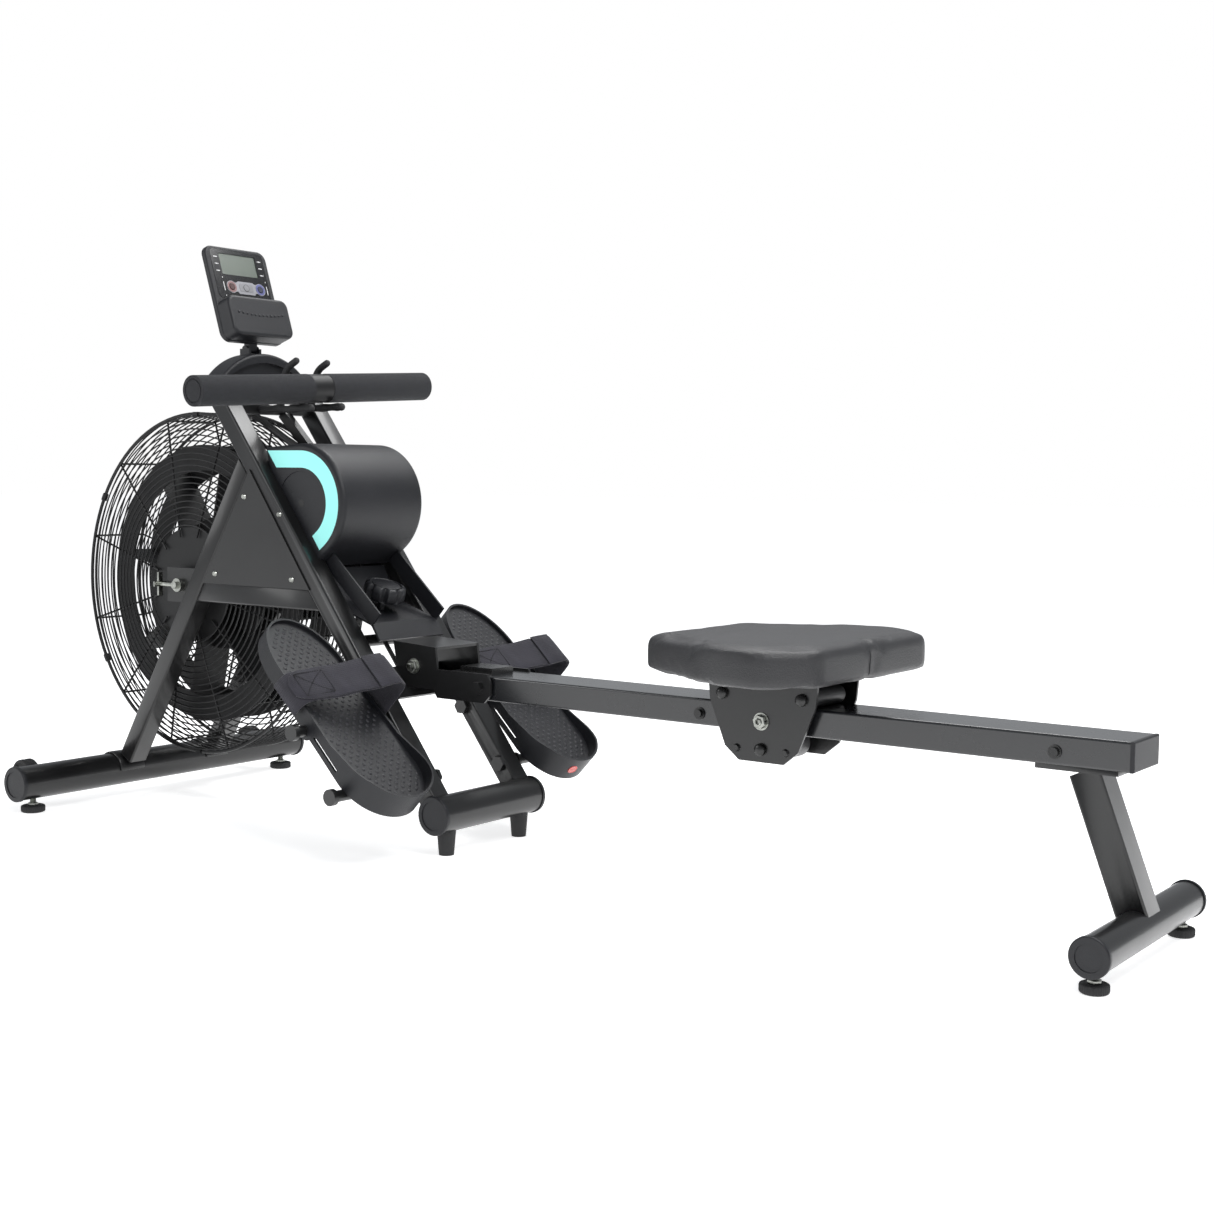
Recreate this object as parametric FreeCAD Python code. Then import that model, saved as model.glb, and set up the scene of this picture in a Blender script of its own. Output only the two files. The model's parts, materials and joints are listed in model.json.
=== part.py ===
import FreeCAD, Part
import os
from math import acos, asin, atan2, cos, hypot, pi, radians, sin, tan

from FreeCAD import Vector

# Air rower with a wire-caged fan, a folding seat rail and a pulled handle. Millimetres, +Z up.
# Station X = 0 is the front stabiliser; +X runs aft to the seat end, +Y is the rower's right.
# Every solid is shifted by -MID_X on export, so the row frame starts under the middle of the box.

# stabilisers and floor
FRONT_HALF = 300.0
FRONT_Z = 48.0
FRONT_R = 27.0
MID_X_STATION = 725.0
MID_HALF = 112.0
MID_Z = 60.0
REAR_X = 1709.0
REAR_HALF = 164.0
REAR_Z = 42.0
REAR_R = 22.0
CAP_LIP = 1.5
CAP_T = 6.0
TUBE_WALL = 2.0
FRONT_FOOT_Y = 266.0
REAR_FOOT_Y = 144.0
FRONT_FOOT_R = 19.0
REAR_FOOT_R = 16.5
FOOT_T = 11.0
STUD_R = 5.0
RUN_GAP = 0.05
BODY_GAP = 0.3

# A-frame
SIDE_Y = 91.0
LEG_W = 30.0
LEG_D = 34.0
LEG_TOP = (242.5, 690.0)
LEG_FOOT = (725.0, 60.0)
BRACE_TOP = (333.0, 571.0)
BRACE_FOOT = (30.0, 70.0)
SIDE_BRACE_Z = 361.0
SIDE_BRACE_H = 40.0
SHEET_T = 2.5

LOW_PLATE = ((592.0, 259.0), (624.0, 217.0))

# fan and cage
FAN_X = 150.0
FAN_Z = 364.0
CAGE_R = 281.0
CAGE_RIM_Y = 50.0
CAGE_NEAR_Y = 67.0
CAGE_FAR_Y = 55.0
HUB_PLATE_R = 93.0
RIM_WIRE_R = 3.0
WIRE_R = 1.7
SPOKE_R = 2.0
CAGE_SPOKES = 8
IMPELLER_R = 228.0
IMPELLER_HALF = 36.0
BLADES = 8
AXLE_R = 6.0
FAN_PULLEY_R = 18.0
BELT_Y = 66.0
BELT_W = 8.0

# spool housing
DRUM_X = 433.0
DRUM_Z = 501.5
DRUM_R = 91.0
DRUM_HALF = 88.0
SHELL_T = 3.0
DRUM_EDGE = 8.5
SPOOL_R = 27.0
DRIVE_PULLEY_R = 60.0
TRIM_OUT_R = 80.0
TRIM_IN_R = 54.0
TRIM_T = 1.5

# top cover
COVER_FRONT = 224.0
COVER_REAR = 262.0

# handle, hooks and strap
HANDLE_X = 375.0
HANDLE_Z = 680.0
HANDLE_HALF = 245.0
GRIP_R = 23.0
BAR_R = 12.5
HANDLE_TILT = 3.4
HOOK_Y = 33.0
HOOK_R = 6.5
PRONG_R = 5.8
GUIDE_X = 226.0
GUIDE_Z = 662.0
GUIDE_R = 14.0
STRAP_W = 22.0
STRAP_T = 2.5

# console
CONSOLE_X = 238.0
CONSOLE_Z = 757.0
CONSOLE_H = 162.0
CONSOLE_W = 129.0
CONSOLE_T = 9.0
CONSOLE_BACK = 22.0
CONSOLE_LEAN = 18.2
POCKET_OUT = 26.0
POCKET_H = 68.0
SCREEN_X = (-3.0, -0.8)
SCREEN_HALF = 38.0
SCREEN_Z = (114.0, 150.0)
TILT_X = 225.0
TILT_Z = 746.0
BUTTON_Z = 93.0
BUTTON_R = 5.5
BUTTON_STEP = 30.0
BUTTON_SHIFT = 5.0

# rail
RAIL_TOP = 258.3
RAIL_H = 35.4
RAIL_HALF = 41.5
RAIL_WALL = 2.5
RAIL_FRONT = 678.0
RAIL_END = 1704.0
PIVOT_X = 755.0
PIVOT_Z = 241.0
PIVOT_R = 6.0
EAR_Y = 44.5
EAR_T = 4.0
REAR_LEG_W = 38.0
REAR_LEG_D = 44.0

# seat
SEAT_X = 1234.0
PLATE_Y = 51.0
PLATE_T = 3.5
TOP_ROLLER_R = 12.0
TOP_ROLLER_DX = 58.5
LOW_ROLLER_R = 20.0
ROLLER_AXLE_R = 4.0
CUSHION_X = 1243.0
CUSHION_Z = (297.0, 346.0)

# pedals, measured in the foot plate's own frame: u runs toe to heel, w is the plate normal
PEDAL_SLOPE = radians(43.0)
PEDAL_Y = 192.0
PEDAL_TOE = (500.0, 336.0)
PEDAL_LEN = 354.0
TOE_HALF = 64.0
HEEL_HALF = 71.0
PEDAL_T = 26.5
TOE_X = 92.0
PEDAL_RIM = 3.5
HEEL_RIM = 16.0
SOLE_DEPTH = 6.0
SIDE_SLOT = (206.0, -19.0)
SIDE_SLOT_LEN = 62.0
SIDE_SLOT_H = 4.0
PEDAL_ROD_R = 8.0
PEDAL_PIVOT = (186.0, -26.0)
PEDAL_REST = (296.0, -34.8)
PEDAL_ROD_END = 276.0
STRAP_U = 150.0
FOOT_STRAP_W = 56.0
FOOT_STRAP_T = 2.6

# knob and tray
KNOB_X = 524.0
KNOB_Z = 368.0
KNOB_R = 33.0
KNOB_H = 24.0
KNOB_LEAN = 18.0

# return cord
CORD_R = 3.5

# transport wheels
WHEEL_X = -54.0
WHEEL_Y = 240.0
WHEEL_Z = 50.0
WHEEL_R = 26.0

# the row frame sits under the middle of the whole box
BOX_FRONT = FAN_X - CAGE_R
BOX_REAR = REAR_X + REAR_R + CAP_LIP
MID_X = (BOX_FRONT + BOX_REAR) / 2


# ---- small helpers ----

def box(x0, x1, y0, y1, z0, z1):
    """An axis-aligned block between two corners."""
    return Part.makeBox(x1 - x0, y1 - y0, z1 - z0, Vector(x0, y0, z0))


def rod(radius, start, end):
    """A round bar between two points."""
    line = Vector(*end) - Vector(*start)
    return Part.makeCylinder(radius, line.Length, Vector(*start), line)


def rod_y(radius, x, z, y0, y1):
    """A round bar along Y."""
    return rod(radius, (x, y0, z), (x, y1, z))


def pipe_y(outer, inner, x, z, y0, y1):
    """A round tube along Y."""
    return rod_y(outer, x, z, y0, y1).cut(rod_y(inner, x, z, y0 - 1, y1 + 1))


def prism(points, y0, y1):
    """A polygon in XZ, carried along Y."""
    corners = [Vector(x, y0, z) for x, z in points]
    face = Part.Face(Part.makePolygon(corners + corners[:1]))
    return face.extrude(Vector(0, y1 - y0, 0))


def bar(start, end, width, y0, y1):
    """A flat-sided bar in the XZ plane from start to end, width across, between y0 and y1."""
    dx, dz = end[0] - start[0], end[1] - start[1]
    length = hypot(dx, dz)
    nx, nz = -dz / length * width / 2, dx / length * width / 2
    (ax, az), (bx, bz) = start, end
    return prism([(ax + nx, az + nz), (bx + nx, bz + nz), (bx - nx, bz - nz), (ax - nx, az - nz)], y0, y1)


def hollow_bar(start, end, width, y0, y1, wall):
    """A rectangular tube with rounded long edges."""
    outer = bar(start, end, width, y0, y1)
    along = Vector(end[0] - start[0], 0, end[1] - start[1]).normalize()
    long_edges = [e for e in outer.Edges if abs(e.tangentAt(e.FirstParameter).dot(along)) > 0.99]
    outer = outer.makeFillet(3.5, long_edges)
    return outer.cut(bar(start, end, width - 2 * wall, y0 + wall, y1 - wall))


def cut_all(shape, *tools):
    """Shape less every tool."""
    for tool in tools:
        shape = shape.cut(tool)
    return shape


def fuse_all(shapes):
    """One solid from touching or crossing pieces."""
    shapes = list(shapes)
    return shapes[0].fuse(shapes[1:]).removeSplitter()


def flip(shape):
    """The same piece on the other side of the machine."""
    return shape.mirror(Vector(0, 0, 0), Vector(0, 1, 0))


def both(shape):
    """A piece and its mirror twin."""
    return [shape, flip(shape)]


def rounded(shape, radius, pick):
    """Shape with a fillet on each edge that pick accepts."""
    return shape.makeFillet(radius, [e for e in shape.Edges if pick(e)])


def save(name, *solids):
    """Write one node, in the row frame."""
    group = Part.makeCompound([s for shape in solids for s in shape.Solids])
    group.translate(Vector(-MID_X, 0, 0))
    group.exportStep(f"parts/{name}.step")


def hex_head(radius, height, base, direction):
    """A hexagonal bolt head standing on base."""
    corners = [Vector(radius * cos(k * pi / 3), radius * sin(k * pi / 3), 0) for k in range(7)]
    head = Part.Face(Part.makePolygon(corners)).extrude(Vector(0, 0, height))
    turn = FreeCAD.Rotation(Vector(0, 0, 1), Vector(*direction))
    head.Placement = FreeCAD.Placement(Vector(*base), turn)
    return head


def button_head(radius, height, base, direction):
    """A low round screw head standing on base."""
    return Part.makeCone(radius, radius * 0.7, height, Vector(*base), Vector(*direction))


def lean(shape, x, z, angle):
    """Turn a piece drawn upright at the origin about Y by angle degrees, then set it at x, z."""
    shape.Placement = FreeCAD.Placement(Vector(x, 0, z), FreeCAD.Rotation(Vector(0, 1, 0), angle))
    return shape


# ---- stabilisers ----

def stabiliser(x, z, radius, half):
    """A round floor tube between its end caps."""
    return pipe_y(radius, radius - TUBE_WALL, x, z, -half + CAP_T, half - CAP_T)


def end_cap(x, z, radius, half):
    """The near cap of a floor tube: a lipped disc with a shallow dished face."""
    cap = rod_y(radius + CAP_LIP, x, z, -half, -half + CAP_T)
    cap = rounded(cap, 2.0, lambda e: e.CenterOfMass.y < -half + 0.1)
    return cap.cut(rod_y(radius - 6, x, z, -half - 1, -half + 1.2))


def wheel_bracket():
    """Two ears that hold one transport wheel in front of the tube."""
    tip = WHEEL_X - 8
    outline = [(0, FRONT_Z - 10), (tip, WHEEL_Z - 8), (tip, WHEEL_Z + 8), (0, FRONT_Z + 14)]
    ears = [prism(outline, -WHEEL_Y - 15, -WHEEL_Y - 12), prism(outline, -WHEEL_Y + 12, -WHEEL_Y + 15)]
    pin = rod_y(ROLLER_AXLE_R, WHEEL_X, WHEEL_Z, -WHEEL_Y - 17, -WHEEL_Y + 17)
    return fuse_all(ears + [pin])


def stud_holes(x, y, z):
    """Clearance holes for the studs of a pair of levelling feet."""
    return [rod(STUD_R + RUN_GAP, (x, s * y, 0), (x, s * y, z)) for s in (-1, 1)]


def front_stabiliser():
    tube = stabiliser(0, FRONT_Z, FRONT_R, FRONT_HALF)
    core = rod_y(FRONT_R - TUBE_WALL / 2, 0, FRONT_Z, -FRONT_HALF, FRONT_HALF)
    brackets = [b.cut(core) for b in both(wheel_bracket())]
    tube = fuse_all([tube] + brackets)
    holes = stud_holes(0, FRONT_FOOT_Y, FRONT_Z)
    return cut_all(tube, *holes)


def mid_stabiliser():
    return stabiliser(MID_X_STATION, MID_Z, FRONT_R, MID_HALF)


def rear_stabiliser():
    tube = stabiliser(REAR_X, REAR_Z, REAR_R, REAR_HALF)
    holes = stud_holes(REAR_X, REAR_FOOT_Y, REAR_Z)
    return cut_all(tube, *holes)


def levelling_foot(radius, x, y, top):
    """A screwed foot: round pad, lock nut and stud up to top."""
    pad = Part.makeCone(radius, radius - 2, FOOT_T, Vector(x, y, 0))
    nut = hex_head(8, 3.5, (x, y, FOOT_T), (0, 0, 1))
    stud = rod(STUD_R, (x, y, FOOT_T), (x, y, top))
    return fuse_all([pad, nut, stud])


def mid_foot(y):
    """A tapered rubber foot under the middle tube, moulded to its round."""
    foot = Part.makeCone(11, 15, MID_Z - 12, Vector(MID_X_STATION, y, 0))
    return foot.cut(rod_y(FRONT_R, MID_X_STATION, MID_Z, -MID_HALF, MID_HALF))


# ---- A-frame ----

def leg_side(grow=0.0):
    """The flat-sided bar that the left main leg is made from, grown all round."""
    half = LEG_D / 2 + grow
    return bar(LEG_TOP, LEG_FOOT, LEG_W + 2 * grow, -SIDE_Y - half, -SIDE_Y + half)


def main_leg():
    leg = hollow_bar(LEG_TOP, LEG_FOOT, LEG_W, -SIDE_Y - LEG_D / 2, -SIDE_Y + LEG_D / 2, TUBE_WALL)
    holes = [rod_y(PEDAL_ROD_R, *pedal_point(*place), -200, 0) for place in (PEDAL_PIVOT, PEDAL_REST)]
    tube = rod_y(FRONT_R, MID_X_STATION, MID_Z, -MID_HALF, MID_HALF)
    leg = cut_all(leg, tube, end_cap(MID_X_STATION, MID_Z, FRONT_R, MID_HALF), *holes)
    return max(leg.Solids, key=lambda part: part.Volume)


def front_brace():
    brace = hollow_bar(BRACE_TOP, BRACE_FOOT, LEG_W, -SIDE_Y - LEG_D / 2, -SIDE_Y + LEG_D / 2, TUBE_WALL)
    brace = brace.cut(leg_side())
    brace = max(brace.Solids, key=lambda s: s.Volume)
    return brace.cut(rod_y(FRONT_R, 0, FRONT_Z, -FRONT_HALF, FRONT_HALF))


def brace_collar():
    """The saddle plate where a front brace stands on the floor tube."""
    collar = pipe_y(FRONT_R + 3, FRONT_R, 0, FRONT_Z, -SIDE_Y - 24, -SIDE_Y + 24)
    collar = collar.cut(box(-60, 60, -200, 0, 0, FRONT_Z))
    return collar.cut(bar(BRACE_TOP, BRACE_FOOT, LEG_W, -SIDE_Y - LEG_D / 2, -SIDE_Y + LEG_D / 2))


def side_brace():
    y0, y1 = -SIDE_Y - LEG_D / 2 + 2, -SIDE_Y + LEG_D / 2 - 2
    beam = hollow_bar((204, SIDE_BRACE_Z), (502, SIDE_BRACE_Z), SIDE_BRACE_H, y0, y1, TUBE_WALL)
    beam = cut_all(beam, leg_side(), bar(BRACE_TOP, BRACE_FOOT, LEG_W, -200, 0))
    return max(beam.Solids, key=lambda s: s.Volume)


def gusset():
    """The sheet that closes the triangle between leg, front brace and side brace."""
    outer = -SIDE_Y - LEG_D / 2
    points = [(343, 552), (233, 372), (474, 372)]
    return prism(points, outer - SHEET_T, outer)


def cross_members():
    """Bars between the two legs, and the post that stands beside the strap over the housing."""
    inner = SIDE_Y - LEG_D / 2
    top = box(262, 284, -inner, inner, 640, 655)
    middle = rod_y(9, 535, 295, -inner, inner)
    low = bar(*LOW_PLATE, 5, -inner, inner)
    post = bar((280, 643), (350, 576), 16, 14, 26).cut(top).cut(drum_profile(0, -DRUM_HALF, DRUM_HALF))
    return [top, middle, low, max(post.Solids, key=lambda part: part.Volume)]


def pedal_point(u, w):
    """X and Z of a point u down the foot plate and w above it."""
    across, down = cos(PEDAL_SLOPE), sin(PEDAL_SLOPE)
    return (PEDAL_TOE[0] + u * across + w * down, PEDAL_TOE[1] - u * down + w * across)


def pedal_rod(place):
    """One rod through the left leg, with a flanged nut inside and a cap outside the foot plate."""
    x, z = pedal_point(*place)
    inner = SIDE_Y - LEG_D / 2
    shaft = rod_y(PEDAL_ROD_R, x, z, -PEDAL_ROD_END, -inner + 6)
    nut = hex_head(12, 6, (x, -inner, z), (0, 1, 0))
    cap = rod_y(PEDAL_ROD_R + 3.5, x, z, -PEDAL_ROD_END - 8, -PEDAL_ROD_END)
    collar = pipe_y(PEDAL_ROD_R + 4, PEDAL_ROD_R, x, z, -SIDE_Y - LEG_D / 2 - 6, -SIDE_Y - LEG_D / 2)
    return fuse_all([shaft, nut, cap, collar])


# ---- fan ----

def cage_y(radius, hub_y):
    """How far out a guard face stands at a radius: a shallow cone from rim to hub."""
    share = (CAGE_R - RIM_WIRE_R - radius) / (CAGE_R - RIM_WIRE_R - HUB_PLATE_R)
    return CAGE_RIM_Y + (hub_y - CAGE_RIM_Y) * share


def torus_y(radius, wire, y):
    """A wire ring about the fan axle."""
    return Part.makeTorus(radius, wire, Vector(FAN_X, y, FAN_Z), Vector(0, 1, 0))


def cage_face(side, hub_y):
    """Rings and radial wires of one guard; side is -1 for the rower's left."""
    rings = [torus_y(CAGE_R - RIM_WIRE_R, RIM_WIRE_R, side * CAGE_RIM_Y)]
    inner, outer, count = HUB_PLATE_R + 10, CAGE_R - 18, 8
    for k in range(count):
        radius = inner + (outer - inner) * k / (count - 1)
        rings.append(torus_y(radius, WIRE_R, side * (cage_y(radius, hub_y) + SPOKE_R + WIRE_R)))
    spokes = []
    start, end = HUB_PLATE_R - 12, CAGE_R - 2 * RIM_WIRE_R
    for k in range(CAGE_SPOKES):
        angle = 2 * pi * (k + 0.5) / CAGE_SPOKES
        ends = []
        for r in (start, end):
            ends.append((FAN_X + r * cos(angle), side * cage_y(r, hub_y), FAN_Z + r * sin(angle)))
        spokes.append(rod(SPOKE_R, *ends))
    return rings + spokes


def cage_barrel():
    """Rings around the guard between its two rims, tied by short cross wires."""
    mean = CAGE_R - RIM_WIRE_R
    rings = [torus_y(mean, WIRE_R, y) for y in (-25, 0, 25)]
    ties = []
    reach = CAGE_RIM_Y - RIM_WIRE_R - BODY_GAP
    for k in range(2 * CAGE_SPOKES):
        angle = 2 * pi * (k + 0.25) / (2 * CAGE_SPOKES)
        radius = mean - WIRE_R
        x, z = FAN_X + radius * cos(angle), FAN_Z + radius * sin(angle)
        ties.append(rod_y(SPOKE_R, x, z, -reach, reach))
    return fuse_all(rings + ties)


def hub_plate(side, hub_y, bore):
    """The sheet disc at the middle of a guard, with a hole for the hub."""
    y = side * (hub_y - SPOKE_R - SHEET_T)
    ends = sorted([y, y + side * SHEET_T])
    return pipe_y(HUB_PLATE_R, bore, FAN_X, FAN_Z, *ends)


def axle_plate(side):
    """The bracket that reaches forward from a front brace to the end of the fan axle."""
    ends = sorted([side * 82.0, side * 87.0])
    plate = prism([(118, 336), (118, 392), (226, 392), (196, 336)], *ends)
    slot = rod_y(AXLE_R, FAN_X, FAN_Z, -120, 120)
    tool = bar(BRACE_TOP, BRACE_FOOT, LEG_W, -200, 0)
    return cut_all(plate, slot, tool, flip(tool))


def fan_axle():
    """The fixed axle with a nut and washer outside each bracket."""
    shaft = rod_y(AXLE_R, FAN_X, FAN_Z, -101, 101)
    nuts = [pipe_y(11, AXLE_R, FAN_X, FAN_Z, *sorted([s * 87.0, s * 95.0])) for s in (-1, 1)]
    return [shaft] + nuts


def tensioner(side):
    """The screw that pulls the fan axle forward, with its cross plate."""
    y = side * 91.0
    screw = rod(3.5, (106, y, FAN_Z), (FAN_X - 11, y, FAN_Z))
    cross = box(102, 106, y - 4, y + 4, FAN_Z - 19, FAN_Z + 19)
    arm = box(102, 106, y - 12, y + 12, FAN_Z - 4, FAN_Z + 4)
    return fuse_all([screw, cross, arm])


def impeller():
    """Hub, radial paddles, a flat ring on each side and the small belt pulley."""
    bore = rod_y(AXLE_R + RUN_GAP, FAN_X, FAN_Z, -100, 100)
    hub = rod_y(26, FAN_X, FAN_Z, -IMPELLER_HALF - 8, IMPELLER_HALF + 8)
    sleeve = rod_y(12, FAN_X, FAN_Z, IMPELLER_HALF, BELT_Y - BELT_W / 2 - 2)
    web = pipe_y(110, 20, FAN_X, FAN_Z, -2, 2)
    rings = []
    for y in (-IMPELLER_HALF, IMPELLER_HALF - 2.5):
        rings.append(pipe_y(IMPELLER_R, 186, FAN_X, FAN_Z, y, y + 2.5))
    paddles = []
    for k in range(BLADES):
        root, tip = FAN_Z + 20, FAN_Z + IMPELLER_R - 2
        blade = box(FAN_X - 1.5, FAN_X + 1.5, -IMPELLER_HALF, IMPELLER_HALF, root, tip)
        blade.rotate(Vector(FAN_X, 0, FAN_Z), Vector(0, 1, 0), 360.0 * k / BLADES + 12)
        paddles.append(blade)
    belt_wheel = pulley(FAN_X, FAN_Z, FAN_PULLEY_R, BELT_W + 0.6, BELT_Y, AXLE_R, flange=2)
    return fuse_all([hub, sleeve, web, belt_wheel] + rings + paddles).cut(bore)


def pulley(x, z, radius, width, y, bore, flange=3.0):
    """A flanged belt pulley centred on y."""
    body = rod_y(radius, x, z, y - width / 2, y + width / 2)
    middles = [y - width / 2 - 1, y + width / 2 + 1]
    rims = [rod_y(radius + flange, x, z, middle - 1, middle + 1) for middle in middles]
    return fuse_all([body] + rims).cut(rod_y(bore, x, z, y - 40, y + 40))


def belt_outline(extra):
    """The belt's loop about both pulleys, extra outside their grooves, filled in."""
    dx, dz = DRUM_X - FAN_X, DRUM_Z - FAN_Z
    big = DRIVE_PULLEY_R + BODY_GAP + extra
    small = FAN_PULLEY_R + BODY_GAP + extra
    lean_angle = atan2(dz, dx)
    half = pi - acos((big - small) / hypot(dx, dz))
    points = []
    for angle in (lean_angle + half, lean_angle - half):
        points.append((FAN_X + small * cos(angle), FAN_Z + small * sin(angle)))
        points.append((DRUM_X + big * cos(angle), DRUM_Z + big * sin(angle)))
    y0, y1 = BELT_Y - BELT_W / 2, BELT_Y + BELT_W / 2
    middle = prism([points[0], points[1], points[3], points[2]], y0, y1)
    return fuse_all([middle, rod_y(big, DRUM_X, DRUM_Z, y0, y1), rod_y(small, FAN_X, FAN_Z, y0, y1)])


def drive_belt():
    """The closed belt from the drive pulley to the fan pulley, running clear of both."""
    return belt_outline(2.5).cut(belt_outline(0.0))


def spool():
    """Strap drum and drive pulley on one sleeve."""
    sleeve = rod_y(14, DRUM_X, DRUM_Z, -30, BELT_Y + 4)
    drum = pulley(DRUM_X, DRUM_Z, SPOOL_R, 30, 0, AXLE_R + RUN_GAP, flange=4)
    wheel = pulley(DRUM_X, DRUM_Z, DRIVE_PULLEY_R, BELT_W + 2, BELT_Y, AXLE_R + RUN_GAP)
    return fuse_all([sleeve, drum, wheel]).cut(rod_y(AXLE_R + RUN_GAP, DRUM_X, DRUM_Z, -100, 100))


# ---- housing ----

def drum_profile(grow, y0, y1):
    """The D-shaped outline of the spool housing: a round rear, a flat top and a sloping underside."""
    radius = DRUM_R + grow
    low = radians(-52)
    tangent = (DRUM_X + radius * cos(low), DRUM_Z + radius * sin(low))
    run = 92.0
    tail = (tangent[0] + run * sin(low), tangent[1] - run * cos(low))
    nose = (352 - grow, DRUM_Z + radius - 6)
    corner = (tail[0] - 20, tail[1] + 26)
    body = prism([nose, (DRUM_X, DRUM_Z + radius), tangent, tail, corner], y0, y1)
    return fuse_all([rod_y(radius, DRUM_X, DRUM_Z, y0, y1), body])


def housing_half(side):
    """One moulded shell, open at the parting face and notched around the main leg."""
    y_out, y_in = side * DRUM_HALF, side * 0.0
    outer = drum_profile(0, *sorted([y_out, y_in]))
    inner = drum_profile(-SHELL_T, *sorted([side * (DRUM_HALF - SHELL_T), -side * 1.0]))
    outer = rounded(outer, DRUM_EDGE, lambda e: abs(e.CenterOfMass.y - y_out) < 0.1)
    shell = outer.cut(inner)
    legs = leg_side(grow=0.5)
    front = prism([(150, 700), (282, 636), (624, 190), (100, 190)], -200, 200)
    cage = rod_y(CAGE_R + 2, FAN_X, FAN_Z, -CAGE_RIM_Y - 8, CAGE_RIM_Y + 8)
    shell = cut_all(shell, legs, flip(legs), front, cage, bar(*strap_run(), 12, -14, 14))
    groove = trim_band(side, TRIM_T, TRIM_T + 0.2)
    dish_ends = sorted([side * (DRUM_HALF - 1.2), side * (DRUM_HALF + 1)])
    dish = rod_y(TRIM_IN_R - 5, DRUM_X, DRUM_Z, *dish_ends)
    shell = cut_all(shell, groove, dish, rod_y(AXLE_R, DRUM_X, DRUM_Z, -100, 100))
    return max(shell.Solids, key=lambda s: s.Volume)


def trim_band(side, depth, height):
    """The D-shaped colour stripe let into the side face."""
    y0, y1 = sorted([side * (DRUM_HALF - depth), side * (DRUM_HALF - depth + height)])
    ring = pipe_y(TRIM_OUT_R, TRIM_IN_R, DRUM_X, DRUM_Z, y0, y1)
    top = box(320, DRUM_X, y0, y1, DRUM_Z + TRIM_IN_R, DRUM_Z + TRIM_OUT_R)
    low = radians(-52)
    away = Vector(sin(low), 0, -cos(low))
    across = Vector(cos(low), 0, sin(low))
    centre = Vector(DRUM_X, 0, DRUM_Z)
    tail_end = ((TRIM_IN_R, 0), (TRIM_OUT_R, 0), (TRIM_OUT_R, 70), (TRIM_IN_R, 70))
    ends = [centre + across * r + away * run for r, run in tail_end]
    tail = prism([(p.x, p.z) for p in ends], y0, y1)
    keep = prism([(331, 620), (620, 620), (620, 380), (512, 380)], -200, 200)
    far = (DRUM_X + 300 * cos(low), DRUM_Z + 300 * sin(low))
    wedge = prism([(DRUM_X, DRUM_Z), (DRUM_X, 700), (700, 700), (700, 300), far], -200, 200)
    band = fuse_all([ring.common(wedge), top, tail]).common(keep)
    return max(band.Solids, key=lambda s: s.Volume)


def tray():
    """The sloping tray under the housing that carries the tension knob."""
    back = bar((449, 410), (479, 350), 3, -70, 70)
    shelf = bar((478, 351), (566, 322), 3, -70, 70)
    lips = [bar((462, 430), (574, 330), 26, s * 70 - 1.5, s * 70 + 1.5) for s in (-1, 1)]
    skirt = prism([(563, 322), (566, 325), (582, 300), (579, 298)], -70, 70)
    panel = fuse_all([back, shelf, skirt] + lips)
    axis = rod(6 + RUN_GAP, knob_point(-60), knob_point(0))
    housing = drum_profile(0.5, -DRUM_HALF - 1, DRUM_HALF + 1)
    return cut_all(panel, axis, housing)


def knob_point(height):
    """A point on the knob's axis, height above its underside."""
    angle = radians(KNOB_LEAN)
    return (KNOB_X + (height - KNOB_H / 2) * sin(angle), 0, KNOB_Z + (height - KNOB_H / 2) * cos(angle))


def tension_knob():
    """An eight-lobed knob on its spindle."""
    body = rod(KNOB_R, knob_point(0), knob_point(KNOB_H))
    for k in range(8):
        flute = Part.makeCylinder(7, 60, Vector(KNOB_R + 3.5, 0, -30))
        flute.rotate(Vector(0, 0, 0), Vector(0, 0, 1), 45.0 * k)
        flute.rotate(Vector(0, 0, 0), Vector(0, 1, 0), KNOB_LEAN)
        flute.translate(Vector(KNOB_X, 0, KNOB_Z))
        body = body.cut(flute)
    return fuse_all([body, rod(6, knob_point(-34), knob_point(2))])


# ---- top of the frame ----

def top_cover():
    """The arched cover over the top ends of the legs, with a dished face."""
    half, foot, shoulder, crown = 88.0, 659.0, 700.0, 738.0

    def arch(inset, x0, x1, base):
        left, right = Vector(x0, -half + inset, base), Vector(x0, half - inset, base)
        up_left, up_right = Vector(x0, -half + inset, shoulder), Vector(x0, half - inset, shoulder)
        curve = Part.Arc(up_left, Vector(x0, 0, crown - inset), up_right).toShape()
        pairs = ((right, left), (left, up_left), (up_right, right))
        sides = [Part.LineSegment(a, b).toShape() for a, b in pairs]
        face = Part.Face(Part.Wire(Part.__sortEdges__(sides + [curve])))
        return face.extrude(Vector(x1 - x0, 0, 0))

    cover = arch(0, COVER_FRONT, COVER_REAR, foot)
    cover = rounded(cover, 5, lambda e: e.CenterOfMass.x > COVER_REAR - 0.1)
    hollow = arch(SHELL_T, COVER_FRONT - 5, COVER_REAR - 12, foot - 5)
    dish = arch(15, COVER_REAR - 8, COVER_REAR + 8, foot + 15)
    legs = leg_side(grow=0.5)
    strap_slot = box(COVER_REAR - 20, COVER_REAR + 8, -14, 14, HANDLE_Z - 10, HANDLE_Z + 4)
    cover = cut_all(cover, hollow, dish, legs, flip(legs), strap_slot)
    return max(cover.Solids, key=lambda s: s.Volume)


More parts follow.
